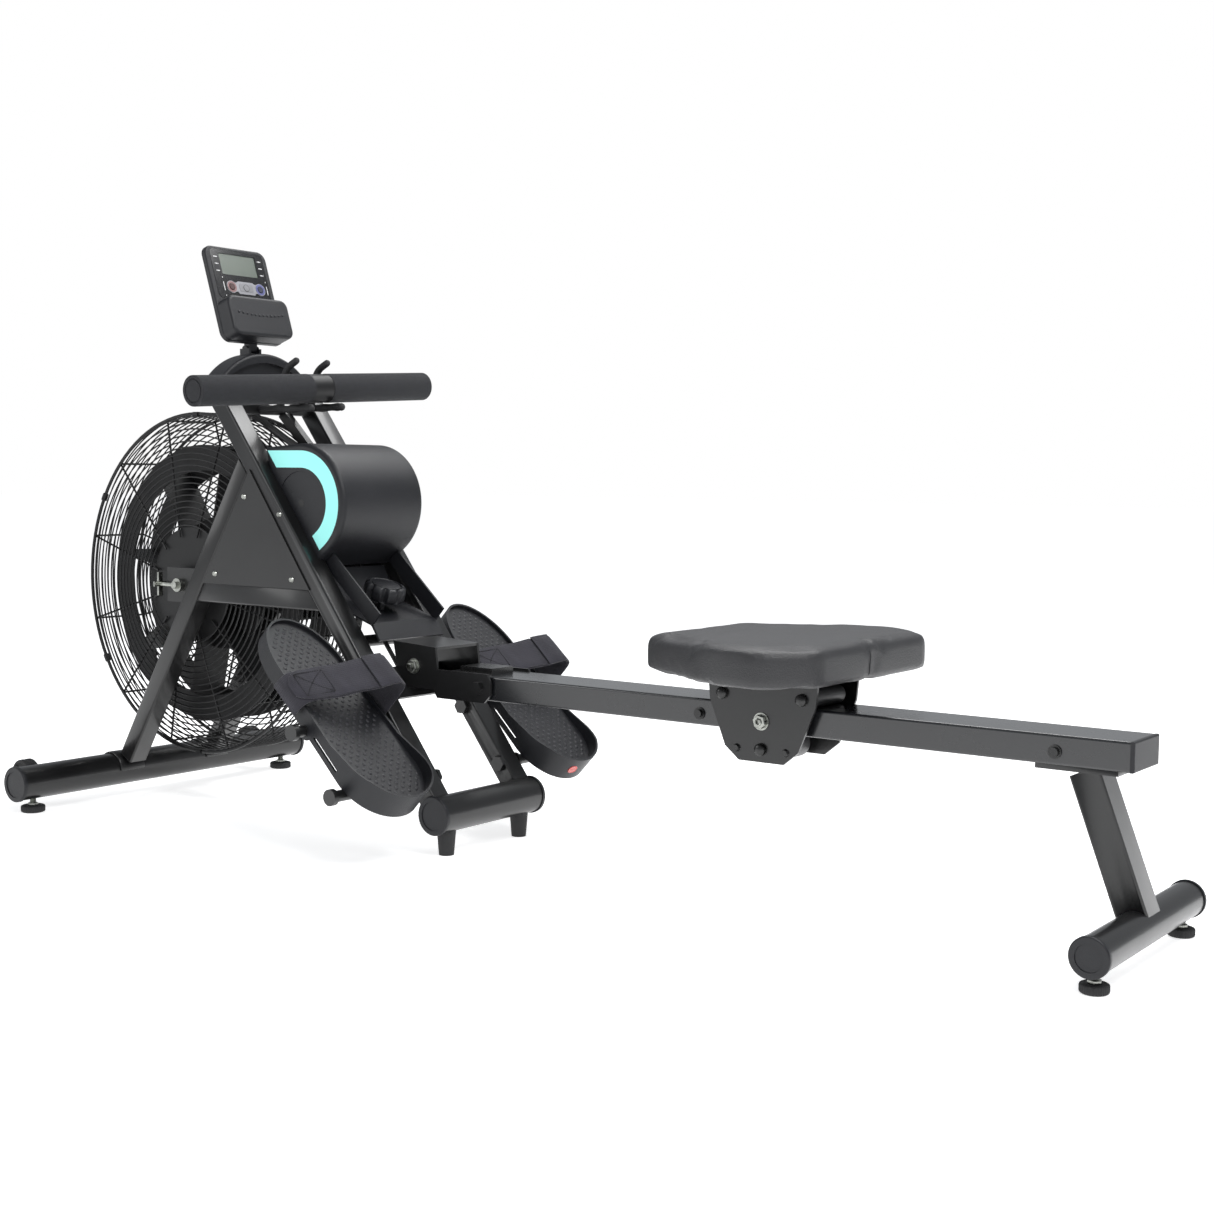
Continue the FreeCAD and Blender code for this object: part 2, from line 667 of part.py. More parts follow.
def console_mast():
    """The neck on the top cover, forked for the console's tilt pin."""
    post = box(TILT_X - 11, TILT_X + 11, -13, 13, 724, TILT_Z + 1)
    crown = rod_y(6, TILT_X, TILT_Z, -13, 13)
    neck = post.fuse(crown).cut(box(TILT_X - 20, TILT_X + 20, -8.8, 8.8, TILT_Z - 8.5, TILT_Z + 30))
    neck = fuse_all([neck, rod_y(ROLLER_AXLE_R, TILT_X, TILT_Z, -13, 13)])
    return neck.cut(top_cover())


def hook(y):
    """A rubber-sleeved J hook: a forward arm under the handle and a prong behind it."""
    tilt = radians(HANDLE_TILT)
    arm_z = HANDLE_Z + y * tan(tilt) - (GRIP_R + HOOK_R + BODY_GAP) / cos(tilt)
    arm = rod(HOOK_R, (284, y, arm_z), (398, y, arm_z))
    tip = Part.makeSphere(HOOK_R, Vector(398, y, arm_z))
    bends = [(332, y, arm_z), (337, y, 690), (348, y, 711), (366, y, 722)]
    prong = [rod(PRONG_R, start, end) for start, end in zip(bends, bends[1:])]
    prong += [Part.makeSphere(PRONG_R, Vector(*bend)) for bend in bends[1:]]
    return fuse_all([arm, tip] + prong)


def guide_bracket():
    """Two cheeks under the top bar that hold the guide pulley's pin."""
    x, z = GUIDE_X, GUIDE_Z
    outline = [(x - 8, z - 12), (x + 8, z - 12), (262, 641), (262, 652), (246, 658)]
    outline += [(x + 8, z + 8), (x - 8, z + 8)]
    cheek = prism(outline, -19, -16)
    return fuse_all(both(cheek) + [rod_y(ROLLER_AXLE_R, x, z, -19, 19)])


# ---- handle ----

def tilt_handle(shape):
    """The handle lies a little out of level on its hooks."""
    shape.rotate(Vector(HANDLE_X, 0, HANDLE_Z), Vector(1, 0, 0), HANDLE_TILT)
    return shape


def handle_bar():
    """Steel core with a centre sleeve and the lug that takes the strap."""
    core = rod_y(BAR_R, HANDLE_X, HANDLE_Z, -HANDLE_HALF + 4, HANDLE_HALF - 4)
    sleeve = rod_y(GRIP_R - 0.5, HANDLE_X, HANDLE_Z, -20, 20)
    lug = box(HANDLE_X - GRIP_R - 8, HANDLE_X - 10, -14, 14, HANDLE_Z - 8, HANDLE_Z + 4)
    return tilt_handle(fuse_all([core, sleeve, lug]))


def handle_grip(side):
    ends = sorted([side * 20.0, side * (HANDLE_HALF - 4)])
    return tilt_handle(pipe_y(GRIP_R, BAR_R, HANDLE_X, HANDLE_Z, *ends))


def handle_cap(side):
    ends = sorted([side * (HANDLE_HALF - 4), side * HANDLE_HALF])
    cap = rod_y(GRIP_R, HANDLE_X, HANDLE_Z, *ends)
    ends = sorted([side * (HANDLE_HALF - 1), side * (HANDLE_HALF + 1)])
    return tilt_handle(cap.cut(pipe_y(GRIP_R - 5, GRIP_R - 7, HANDLE_X, HANDLE_Z, *ends)))


def pull_strap():
    """Webbing from the spool over the guide pulley to the handle."""
    top_z = GUIDE_Z + GUIDE_R + STRAP_T / 2 + BODY_GAP
    front_end = HANDLE_X - GRIP_R - 8.5
    half = STRAP_W / 2
    outer = bar((GUIDE_X, top_z), (front_end, HANDLE_Z - 2), STRAP_T, -half, half)
    return [outer, bar(*strap_run(), STRAP_T, -half, half)]


def strap_run():
    """Both ends of the straight run from under the guide pulley to the top of the spool."""
    off_guide = GUIDE_R + STRAP_T / 2 + BODY_GAP
    off_spool = SPOOL_R + STRAP_T / 2 + BODY_GAP
    dx, dz = DRUM_X - GUIDE_X, DRUM_Z - GUIDE_Z
    angle = atan2(dz, dx) + asin((off_guide + off_spool) / hypot(dx, dz))
    start = (GUIDE_X + off_guide * sin(angle), GUIDE_Z - off_guide * cos(angle))
    end = (DRUM_X - off_spool * sin(angle), DRUM_Z + off_spool * cos(angle))
    return start, end


# ---- console ----

def console_frame(shape):
    """Set a piece drawn flat at the origin onto the leaning console."""
    return lean(shape, CONSOLE_X, CONSOLE_Z, -CONSOLE_LEAN)


def slab(x0, x1, half_w, z0, z1, radius):
    """A block with four rounded corners, seen from the front."""
    block = box(x0, x1, -half_w, half_w, z0, z1)
    return rounded(block, radius, lambda e: abs(e.tangentAt(e.FirstParameter).x) > 0.99)


def console_case():
    """Thin face with a rear hump, a proud pocket over its lower half and the lug it tilts on."""
    half = CONSOLE_W / 2
    face = slab(-CONSOLE_T, 0, half, 0, CONSOLE_H, 16)
    face = rounded(face, 3, lambda e: e.CenterOfMass.x > -0.1)
    hump = slab(-CONSOLE_BACK, -CONSOLE_T, half - 18, 12, CONSOLE_H - 22, 10)
    hump = rounded(hump, 6, lambda e: e.CenterOfMass.x < 0.1 - CONSOLE_BACK)
    pocket = slab(-CONSOLE_T, POCKET_OUT, half - 1, 1, POCKET_H, 14)
    pocket = rounded(pocket, 5, lambda e: e.CenterOfMass.x > POCKET_OUT - 0.1)
    slot = box(5, POCKET_OUT - 6, 8 - half, half - 8, 10, POCKET_H + 10)
    window = box(SCREEN_X[0], 1, -SCREEN_HALF, SCREEN_HALF, *SCREEN_Z)
    body = cut_all(fuse_all([face, hump, pocket]), slot, window)
    for index in (-1, 0, 1):
        y = button_y(index)
        body = body.cut(rod(BUTTON_R + 0.4, (-6, y, BUTTON_Z), (2, y, BUTTON_Z)))
    body = console_frame(body)
    neck = box(TILT_X - 6, TILT_X + 6, -8.5, 8.5, TILT_Z, TILT_Z + 18)
    lug = rod_y(6, TILT_X, TILT_Z, -8.5, 8.5).fuse(neck)
    body = fuse_all([body, lug.cut(console_frame(slot))])
    return body.cut(rod_y(ROLLER_AXLE_R + RUN_GAP, TILT_X, TILT_Z, -20, 20))


def button_y(index):
    """Across-the-face place of a button; the key plate sits a little right of the middle."""
    return BUTTON_SHIFT + index * BUTTON_STEP


def console_screen():
    return console_frame(box(SCREEN_X[0], SCREEN_X[1], -SCREEN_HALF, SCREEN_HALF, *SCREEN_Z))


def console_button(index):
    y = button_y(index)
    cap = rod(BUTTON_R, (-3.5, y, BUTTON_Z), (2.2, y, BUTTON_Z))
    return console_frame(rounded(cap, 0.8, lambda e: e.CenterOfMass.x > 2.1))


# ---- rail ----

def rail():
    z0 = RAIL_TOP - RAIL_H
    outer = box(RAIL_FRONT, RAIL_END, -RAIL_HALF, RAIL_HALF, z0, RAIL_TOP)
    outer = rounded(outer, 3, lambda e: abs(e.tangentAt(e.FirstParameter).x) > 0.99)
    half = RAIL_HALF - RAIL_WALL
    inner = box(RAIL_FRONT - 1, RAIL_END + 1, -half, half, z0 + RAIL_WALL, RAIL_TOP - RAIL_WALL)
    return outer.cut(inner).cut(rod_y(PIVOT_R + RUN_GAP, PIVOT_X, PIVOT_Z, -60, 60))


def rail_end_cap():
    z0 = RAIL_TOP - RAIL_H
    plate = box(RAIL_END, RAIL_END + 5, -RAIL_HALF, RAIL_HALF, z0, RAIL_TOP)
    return rounded(plate, 2, lambda e: e.CenterOfMass.x > RAIL_END + 4.9)


def rear_leg():
    """The sloping post under the rail's end with its bolted top flange."""
    top = (1644, RAIL_TOP - RAIL_H - 8)
    foot = (REAR_X - 1, REAR_Z + 4)
    post = hollow_bar(top, foot, REAR_LEG_W, -REAR_LEG_D / 2, REAR_LEG_D / 2, TUBE_WALL)
    tube = rod_y(REAR_R, REAR_X, REAR_Z, -REAR_HALF, REAR_HALF)
    post = cut_all(post, tube, box(1500, 1800, -60, 60, RAIL_TOP - RAIL_H - 6, 300))
    flange = box(1592, 1690, -38, 38, RAIL_TOP - RAIL_H - 6, RAIL_TOP - RAIL_H)
    return fuse_all([max(post.Solids, key=lambda s: s.Volume), flange])


def rail_fasteners():
    """Stop bolts on both flanks of the rail and the screws under its end."""
    made = []
    for x in (1132, 1617):
        washer = pipe_y(8, 3, x, RAIL_TOP - 20, -RAIL_HALF - 2, -RAIL_HALF)
        head = rod_y(5.5, x, RAIL_TOP - 20, -RAIL_HALF - 6, -RAIL_HALF - 2)
        made += both(fuse_all([washer, head]))
    return made


def rail_stop():
    """The rubber block on the rail that stops the seat at the front."""
    return box(700, 760, -24, 24, RAIL_TOP, RAIL_TOP + 9)


def rail_bracket():
    """The welded channel between the legs that the rail is pinned to."""
    cheeks = []
    outline = [(588, 299), (672, 294), (676, 262), (772, 262), (778, 250)]
    outline += [(778, 232), (766, 220), (676, 220), (668, 232), (602, 232)]
    for y in (-EAR_Y - EAR_T, EAR_Y):
        cheeks.append(prism(outline, y, y + EAR_T))
    lid = prism([(588, 299), (672, 294), (672, 290), (590, 295)], -EAR_Y, EAR_Y)
    floor = box(604, 664, -EAR_Y, EAR_Y, 232, 236)
    shape = fuse_all(cheeks + [lid, floor])
    shape = cut_all(shape, rod_y(PIVOT_R, PIVOT_X, PIVOT_Z, -60, 60), bar(*LOW_PLATE, 5, -80, 80))
    return max(shape.Solids, key=lambda s: s.Volume)


def pivot_bolt():
    """The bolt that the rail folds about, with its head and nut."""
    end = EAR_Y + EAR_T
    pin = rod_y(PIVOT_R, PIVOT_X, PIVOT_Z, -end, end)
    heads = [hex_head(10, 6, (PIVOT_X, s * end, PIVOT_Z), (0, s, 0)) for s in (-1, 1)]
    return fuse_all([pin] + heads)


# ---- seat ----

def seat_carriage():
    """An inverted channel: a top plate and two side plates that hang down past the rail."""
    top_z = CUSHION_Z[0]
    half = [(81, top_z - 4), (78, 262), (54, 203), (33, 186)]
    side = half + [(-x, z) for x, z in reversed(half)]
    plates = []
    for y in (-PLATE_Y - PLATE_T, PLATE_Y):
        plates.append(prism([(SEAT_X + x, z) for x, z in side], y, y + PLATE_T))
    top = box(SEAT_X - 81, SEAT_X + 81, -PLATE_Y - PLATE_T, PLATE_Y + PLATE_T, top_z - 4, top_z)
    shape = fuse_all(plates + [top])
    for x, z in roller_places():
        shape = shape.cut(rod_y(ROLLER_AXLE_R, x, z, -80, 80))
    return shape


def roller_places():
    """Axle centres of the two top rollers and the lower one."""
    top_z = RAIL_TOP + BODY_GAP + TOP_ROLLER_R
    low_z = RAIL_TOP - RAIL_H - BODY_GAP - LOW_ROLLER_R
    return [(SEAT_X - TOP_ROLLER_DX, top_z), (SEAT_X + TOP_ROLLER_DX, top_z), (SEAT_X, low_z)]


def seat_axles():
    """Three through axles with domed nuts, and the side-guide nut at the middle of each plate."""
    made = []
    out = PLATE_Y + PLATE_T
    for x, z in roller_places():
        shaft = rod_y(ROLLER_AXLE_R, x, z, -out, out)
        nuts = [hex_head(7, 5, (x, s * out, z), (0, s, 0)) for s in (-1, 1)]
        made.append(fuse_all([shaft] + nuts))
    for side in (-1, 1):
        made.append(hex_head(9, 5, (SEAT_X, side * out, 238.5), (0, side, 0)))
        for dx in (-36, 36):
            made.append(button_head(5.5, 3.5, (SEAT_X + dx, side * out, 201.5), (0, side, 0)))
    return made


def roller(index, radius, half):
    """A crowned roller turning on one of the carriage axles."""
    x, z = roller_places()[index]
    wheel = rod_y(radius, x, z, -half, half)
    wheel = rounded(wheel, 2, lambda e: abs(abs(e.CenterOfMass.y) - half) < 0.1)
    return wheel.cut(rod_y(ROLLER_AXLE_R + RUN_GAP, x, z, -half - 1, half + 1))


def cushion():
    """The seat pad: a rounded hexagon, wide at the middle."""
    z0, z1 = CUSHION_Z
    half = [(-152, 112), (-6, 201), (28, 201), (134, 106)]
    corners = [Vector(CUSHION_X + x, -y, z0) for x, y in half]
    corners += [Vector(CUSHION_X + x, y, z0) for x, y in reversed(half)]
    pad = Part.Face(Part.makePolygon(corners + corners[:1])).extrude(Vector(0, 0, z1 - z0))

    def upright(edge):
        return abs(edge.tangentAt(edge.FirstParameter).z) > 0.99 and abs(edge.CenterOfMass.y) < 150

    pad = rounded(pad, 38, upright)
    pad = rounded(pad, 12, lambda e: e.CenterOfMass.z > z1 - 0.1)
    return rounded(pad, 5, lambda e: e.CenterOfMass.z < z0 + 0.1)


# ---- pedals ----

def foot_frame(shape, side):
    """Lay a piece drawn in the foot plate's own frame onto the slope, on one side."""
    toe = Vector(PEDAL_TOE[0], side * PEDAL_Y, PEDAL_TOE[1])
    turn = FreeCAD.Rotation(Vector(0, 1, 0), PEDAL_SLOPE * 180 / pi)
    shape.Placement = FreeCAD.Placement(toe, turn)
    return shape


def sole(inset, z0, z1):
    """The foot plate outline drawn inset: an oval toe, tapering sides and a round heel."""
    toe_r, heel_r = TOE_HALF - inset, HEEL_HALF - inset
    toe_x, heel_x = TOE_X, PEDAL_LEN - HEEL_HALF
    start, end = Vector(toe_x, toe_r, z0), Vector(toe_x, -toe_r, z0)
    toe = Part.Ellipse(Vector(toe_x, 0, z0), toe_x - inset, toe_r)
    toe_arc = Part.ArcOfEllipse(toe, pi / 2, 3 * pi / 2).toShape()
    heel_start, heel_end = Vector(heel_x, -heel_r, z0), Vector(heel_x, heel_r, z0)
    heel_arc = Part.Arc(heel_start, Vector(heel_x + heel_r, 0, z0), heel_end).toShape()
    sides = [Part.LineSegment(end, heel_start).toShape(), Part.LineSegment(heel_end, start).toShape()]
    outline = Part.Wire(Part.__sortEdges__([toe_arc, sides[0], heel_arc, sides[1]]))
    return Part.Face(outline).extrude(Vector(0, 0, z1 - z0))


def pedal(side):
    """Tray-shaped foot plate with a raised heel rim and the boss it pivots in."""
    body = sole(0, -PEDAL_T, 0)
    heel_wall = sole(0, -1, HEEL_RIM).cut(sole(PEDAL_RIM, -2, HEEL_RIM + 1))
    top = HEEL_RIM + 1
    ramp = prism([(-10, 0), (PEDAL_LEN - 120, 0), (PEDAL_LEN - 30, top), (-10, top)], -100, 100)
    body = body.fuse(heel_wall.cut(ramp))
    recess, hollow = sole(PEDAL_RIM, -SOLE_DEPTH, top), sole(PEDAL_RIM, -PEDAL_T - 1, -SOLE_DEPTH - 5)
    body = cut_all(body, recess, hollow)
    u, w = PEDAL_PIVOT
    width = 2 * (TOE_HALF - 1)
    slot_u, slot_w = SIDE_SLOT
    side_slot = Part.makeBox(SIDE_SLOT_LEN, 200, SIDE_SLOT_H, Vector(slot_u, -100, slot_w))
    body = body.cut(side_slot)
    boss = Part.makeCylinder(PEDAL_ROD_R + 6, width, Vector(u, -width / 2, w), Vector(0, 1, 0))
    web = Part.makeBox(28, width, -w - SOLE_DEPTH - 2, Vector(u - 14, -width / 2, w))
    shape = fuse_all([body, boss, web])
    bore = Part.makeCylinder(PEDAL_ROD_R + RUN_GAP, 300, Vector(u, -150, w), Vector(0, 1, 0))
    return foot_frame(shape.cut(bore), side)


def foot_strap(side):
    """The loose band over the foot, from one side wall to the other, higher on its right."""
    out = HEEL_HALF - 1
    low = -PEDAL_T + 4
    route = [Vector(0, -out, low), Vector(0, -out, 22), Vector(0, out - 2, 62), Vector(0, out, low)]
    path = rounded_path(route, 0.3)
    band = path.makeOffset2D(FOOT_STRAP_T, 0, True, True).extrude(Vector(FOOT_STRAP_W, 0, 0))
    band.translate(Vector(STRAP_U - FOOT_STRAP_W / 2, 0, 0))
    band = band.cut(sole(0, -PEDAL_T, 0))
    return foot_frame(max(band.Solids, key=lambda part: part.Volume), side)


# ---- transport wheels ----

def transport_wheel(side):
    wheel = rod_y(WHEEL_R, WHEEL_X, WHEEL_Z, side * WHEEL_Y - 11, side * WHEEL_Y + 11)
    wheel = rounded(wheel, 3, lambda e: abs(abs(e.CenterOfMass.y - side * WHEEL_Y) - 11) < 0.1)
    bore = rod_y(ROLLER_AXLE_R + RUN_GAP, WHEEL_X, WHEEL_Z, side * WHEEL_Y - 20, side * WHEEL_Y + 20)
    return wheel.cut(bore)


# ---- fasteners and the return cord ----

def frame_fasteners():
    """Screw heads on the gussets, legs and rail bracket."""
    made = []
    outer = -SIDE_Y - LEG_D / 2
    for x, z in ((331, 510), (262, 388), (436, 386)):
        made += both(button_head(4.5, 2.5, (x, outer - SHEET_T, z), (0, -1, 0)))
    for x, z in ((407, 484), (655, 152)):
        made += both(button_head(4.5, 2.5, (x, outer, z), (0, -1, 0)))
    made += both(hex_head(9, 6, (630, -EAR_Y - EAR_T, 264), (0, -1, 0)))
    return made


def return_cord():
    """The elastic cord that pulls the strap home, from the tray down to the lower cross plate."""
    route = [(494, 310), (504, 336), (529, 328), (612, 217)]
    route = [Vector(x, -30, z) for x, z in route]
    path = rounded_path(route, 0.45)
    start = (route[1] - route[0]).normalize()
    ring = Part.Wire(Part.Circle(route[0], start, CORD_R).toShape())
    return path.makePipeShell([ring], True, False)


def rounded_path(route, share):
    """Straight runs joined by tangent arcs that each take this share of the shorter run."""
    edges = []
    start = route[0]
    for before, here, after in zip(route, route[1:], route[2:]):
        back, ahead = before - here, after - here
        trim = share * min(back.Length, ahead.Length)
        back.normalize()
        ahead.normalize()
        half_turn = back.getAngle(ahead) / 2
        radius = trim * tan(half_turn)
        inward = (back + ahead).normalize()
        print(f"cord arc radius {radius:.1f} mm")
        leave, join = here + back * trim, here + ahead * trim
        middle = here + inward * (radius / sin(half_turn) - radius)
        edges.append(Part.LineSegment(start, leave).toShape())
        edges.append(Part.Arc(leave, middle, join).toShape())
        start = join
    edges.append(Part.LineSegment(start, route[-1]).toShape())
    return Part.Wire(edges)


# ---- write every node ----

def build():
    os.makedirs("parts", exist_ok=True)
    save("front_stabiliser", front_stabiliser())
    save("mid_stabiliser", mid_stabiliser())
    caps = both(end_cap(0, FRONT_Z, FRONT_R, FRONT_HALF))
    caps += both(end_cap(MID_X_STATION, MID_Z, FRONT_R, MID_HALF))
    save("frame_end_caps", *caps)
    save("mid_rubber_feet", *both(mid_foot(-82)))
    save("main_leg_left", main_leg())
    save("main_leg_right", flip(main_leg()))
    brace = fuse_all([front_brace(), brace_collar()])
    save("front_braces", *both(brace))
    save("side_braces", *both(side_brace()))
    save("gussets", *both(gusset()))
    spool_axle = rod_y(AXLE_R, DRUM_X, DRUM_Z, -DRUM_HALF + 1, DRUM_HALF - 1)
    save("cross_members", spool_axle, guide_bracket(), *cross_members())
    save("rail_bracket", rail_bracket(), pivot_bolt())
    save("pedal_rods", *both(pedal_rod(PEDAL_PIVOT)), *both(pedal_rod(PEDAL_REST)))

    save("cage_left", *cage_face(-1, CAGE_NEAR_Y))
    save("cage_right", *cage_face(1, CAGE_FAR_Y))
    save("cage_barrel", cage_barrel())
    save("hub_plates", hub_plate(-1, CAGE_NEAR_Y, 14), hub_plate(1, CAGE_FAR_Y, 14))
    save("axle_brackets", axle_plate(-1), axle_plate(1))
    save("fan_axle", tensioner(-1), tensioner(1), *fan_axle())
    save("impeller", impeller())
    save("drive_belt", drive_belt())
    save("spool", spool())

    save("housing_left", housing_half(-1))
    save("housing_right", housing_half(1))
    save("housing_trims", trim_band(-1, TRIM_T, TRIM_T), trim_band(1, TRIM_T, TRIM_T))
    save("tray", tray())
    save("tension_knob", tension_knob())
    save("return_cord", return_cord())

    save("top_cover", top_cover())
    save("handle_hooks", hook(-HOOK_Y), hook(HOOK_Y))
    save("guide_pulley", pulley(GUIDE_X, GUIDE_Z, GUIDE_R, STRAP_W + 2, 0, ROLLER_AXLE_R + RUN_GAP))
    save("console_mast", console_mast())
    save("console_case", console_case())
    save("console_screen", console_screen())
    for name, index in (("left", -1), ("middle", 0), ("right", 1)):
        save(f"button_{name}", console_button(index))

    save("handle_bar", handle_bar())
    save("handle_grips", handle_grip(-1), handle_grip(1), handle_cap(-1), handle_cap(1))
    save("pull_strap", *pull_strap())

    save("rail", rail())
    save("rear_leg", rear_leg())
    save("rear_stabiliser", rear_stabiliser())
    save("rear_caps", rail_end_cap(), *both(end_cap(REAR_X, REAR_Z, REAR_R, REAR_HALF)))
    save("rail_fasteners", rail_stop(), *rail_fasteners())

    save("seat_carriage", seat_carriage(), *seat_axles())
    save("seat_cushion", cushion())
    save("roller_front", roller(0, TOP_ROLLER_R, 38))
    save("roller_rear", roller(1, TOP_ROLLER_R, 38))
    save("roller_lower", roller(2, LOW_ROLLER_R, 38))

    for name, side in (("left", -1), ("right", 1)):
        save(f"pedal_{name}", pedal(side))
        save(f"pedal_strap_{name}", foot_strap(side))
        save(f"wheel_{name}", transport_wheel(side))
        save(f"foot_front_{name}", levelling_foot(FRONT_FOOT_R, 0, side * FRONT_FOOT_Y, FRONT_Z - 6))
        save(f"foot_rear_{name}", levelling_foot(REAR_FOOT_R, REAR_X, side * REAR_FOOT_Y, REAR_Z - 4))
    save("frame_fasteners", *frame_fasteners())


build()
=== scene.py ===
import json
from math import atan2, cos, hypot, pi, radians, sin, tan

import bmesh
import bpy
from mathutils import Matrix, Vector, noise


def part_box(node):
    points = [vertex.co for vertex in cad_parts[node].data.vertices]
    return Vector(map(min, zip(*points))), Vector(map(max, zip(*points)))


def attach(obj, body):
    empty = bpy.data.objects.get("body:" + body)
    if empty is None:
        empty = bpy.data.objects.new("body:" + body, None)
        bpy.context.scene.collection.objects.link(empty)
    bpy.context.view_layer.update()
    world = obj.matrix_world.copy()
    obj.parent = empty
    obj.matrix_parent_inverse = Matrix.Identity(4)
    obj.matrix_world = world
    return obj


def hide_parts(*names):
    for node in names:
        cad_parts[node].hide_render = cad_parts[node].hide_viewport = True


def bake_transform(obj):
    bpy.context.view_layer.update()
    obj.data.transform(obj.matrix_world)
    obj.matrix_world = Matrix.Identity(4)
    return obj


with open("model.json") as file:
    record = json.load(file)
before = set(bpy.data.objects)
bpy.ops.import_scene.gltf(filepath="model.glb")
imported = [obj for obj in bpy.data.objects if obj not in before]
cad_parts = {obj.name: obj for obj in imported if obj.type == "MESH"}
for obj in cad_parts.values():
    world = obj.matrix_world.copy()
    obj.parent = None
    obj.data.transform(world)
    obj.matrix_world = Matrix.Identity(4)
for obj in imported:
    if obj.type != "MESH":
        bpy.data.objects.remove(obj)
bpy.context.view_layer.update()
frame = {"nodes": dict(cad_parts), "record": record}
nodes = frame["nodes"]

# Places are given as on the drawing of the part: millimetres, X from the front stabiliser.
MID_X = 800.75
MM = 0.001


def at(x, y, z):
    """A drawing place in the row frame, in metres."""
    return Vector(((x - MID_X) * MM, y * MM, z * MM))


# ---- materials ----

def material(name, colour, rough, metal=0.0, vary=0.2, spots=12.0, grain=(), coat=0.0, sheen=0.0,
             rough_vary=0.08, uv=False, depth=0.0004, gloss=0.5):
    """A finish whose colour, roughness and bump come from noise; grain lists (kind, scale, weight)."""
    made = bpy.data.materials.new(name)
    made.use_nodes = True
    made.diffuse_color = (*colour, 1)
    tree, links = made.node_tree, made.node_tree.links
    shader = tree.nodes["Principled BSDF"]
    shader.inputs["Metallic"].default_value = metal
    shader.inputs["Coat Weight"].default_value = coat
    shader.inputs["Coat Roughness"].default_value = 0.15
    shader.inputs["Sheen Weight"].default_value = sheen
    shader.inputs["Sheen Roughness"].default_value = 0.5
    shader.inputs["Specular IOR Level"].default_value = gloss
    place = tree.nodes.new("ShaderNodeTexCoord").outputs["UV" if uv else "Object"]

    cloud = tree.nodes.new("ShaderNodeTexNoise")
    cloud.inputs["Scale"].default_value = spots
    cloud.inputs["Detail"].default_value = 6
    links.new(place, cloud.inputs["Vector"])
    ramp = tree.nodes.new("ShaderNodeValToRGB")
    ramp.color_ramp.elements[0].position = 0.3
    ramp.color_ramp.elements[1].position = 0.7
    ramp.color_ramp.elements[0].color = (*[c * (1 - vary) for c in colour], 1)
    ramp.color_ramp.elements[1].color = (*[min(1, c * (1 + vary)) for c in colour], 1)
    links.new(cloud.outputs["Fac"], ramp.inputs["Fac"])
    links.new(ramp.outputs["Color"], shader.inputs["Base Color"])

    spread = tree.nodes.new("ShaderNodeMapRange")
    spread.inputs["To Min"].default_value = max(0.02, rough - rough_vary)
    spread.inputs["To Max"].default_value = min(1.0, rough + rough_vary)
    links.new(cloud.outputs["Fac"], spread.inputs["Value"])
    links.new(spread.outputs["Result"], shader.inputs["Roughness"])

    height = None
    for kind, scale, weight in grain:
        if kind == "noise":
            tex = tree.nodes.new("ShaderNodeTexNoise")
            tex.inputs["Detail"].default_value = 3
            out = tex.outputs["Fac"]
        elif kind == "cells":
            tex = tree.nodes.new("ShaderNodeTexVoronoi")
            tex.feature = "F1"
            out = tex.outputs["Distance"]
        else:
            tex = tree.nodes.new("ShaderNodeTexWave")
            tex.bands_direction = kind
            out = tex.outputs["Fac"]
        tex.inputs["Scale"].default_value = scale
        links.new(place, tex.inputs["Vector"])
        part = tree.nodes.new("ShaderNodeMath")
        part.operation = "MULTIPLY"
        part.inputs[1].default_value = weight
        links.new(out, part.inputs[0])
        if height is None:
            height = part.outputs[0]
        else:
            add = tree.nodes.new("ShaderNodeMath")
            links.new(height, add.inputs[0])
            links.new(part.outputs[0], add.inputs[1])
            height = add.outputs[0]
    if height is not None:
        bump = tree.nodes.new("ShaderNodeBump")
        bump.inputs["Distance"].default_value = depth
        bump.inputs["Strength"].default_value = 0.8
        links.new(height, bump.inputs["Height"])
        links.new(bump.outputs["Normal"], shader.inputs["Normal"])
    return made


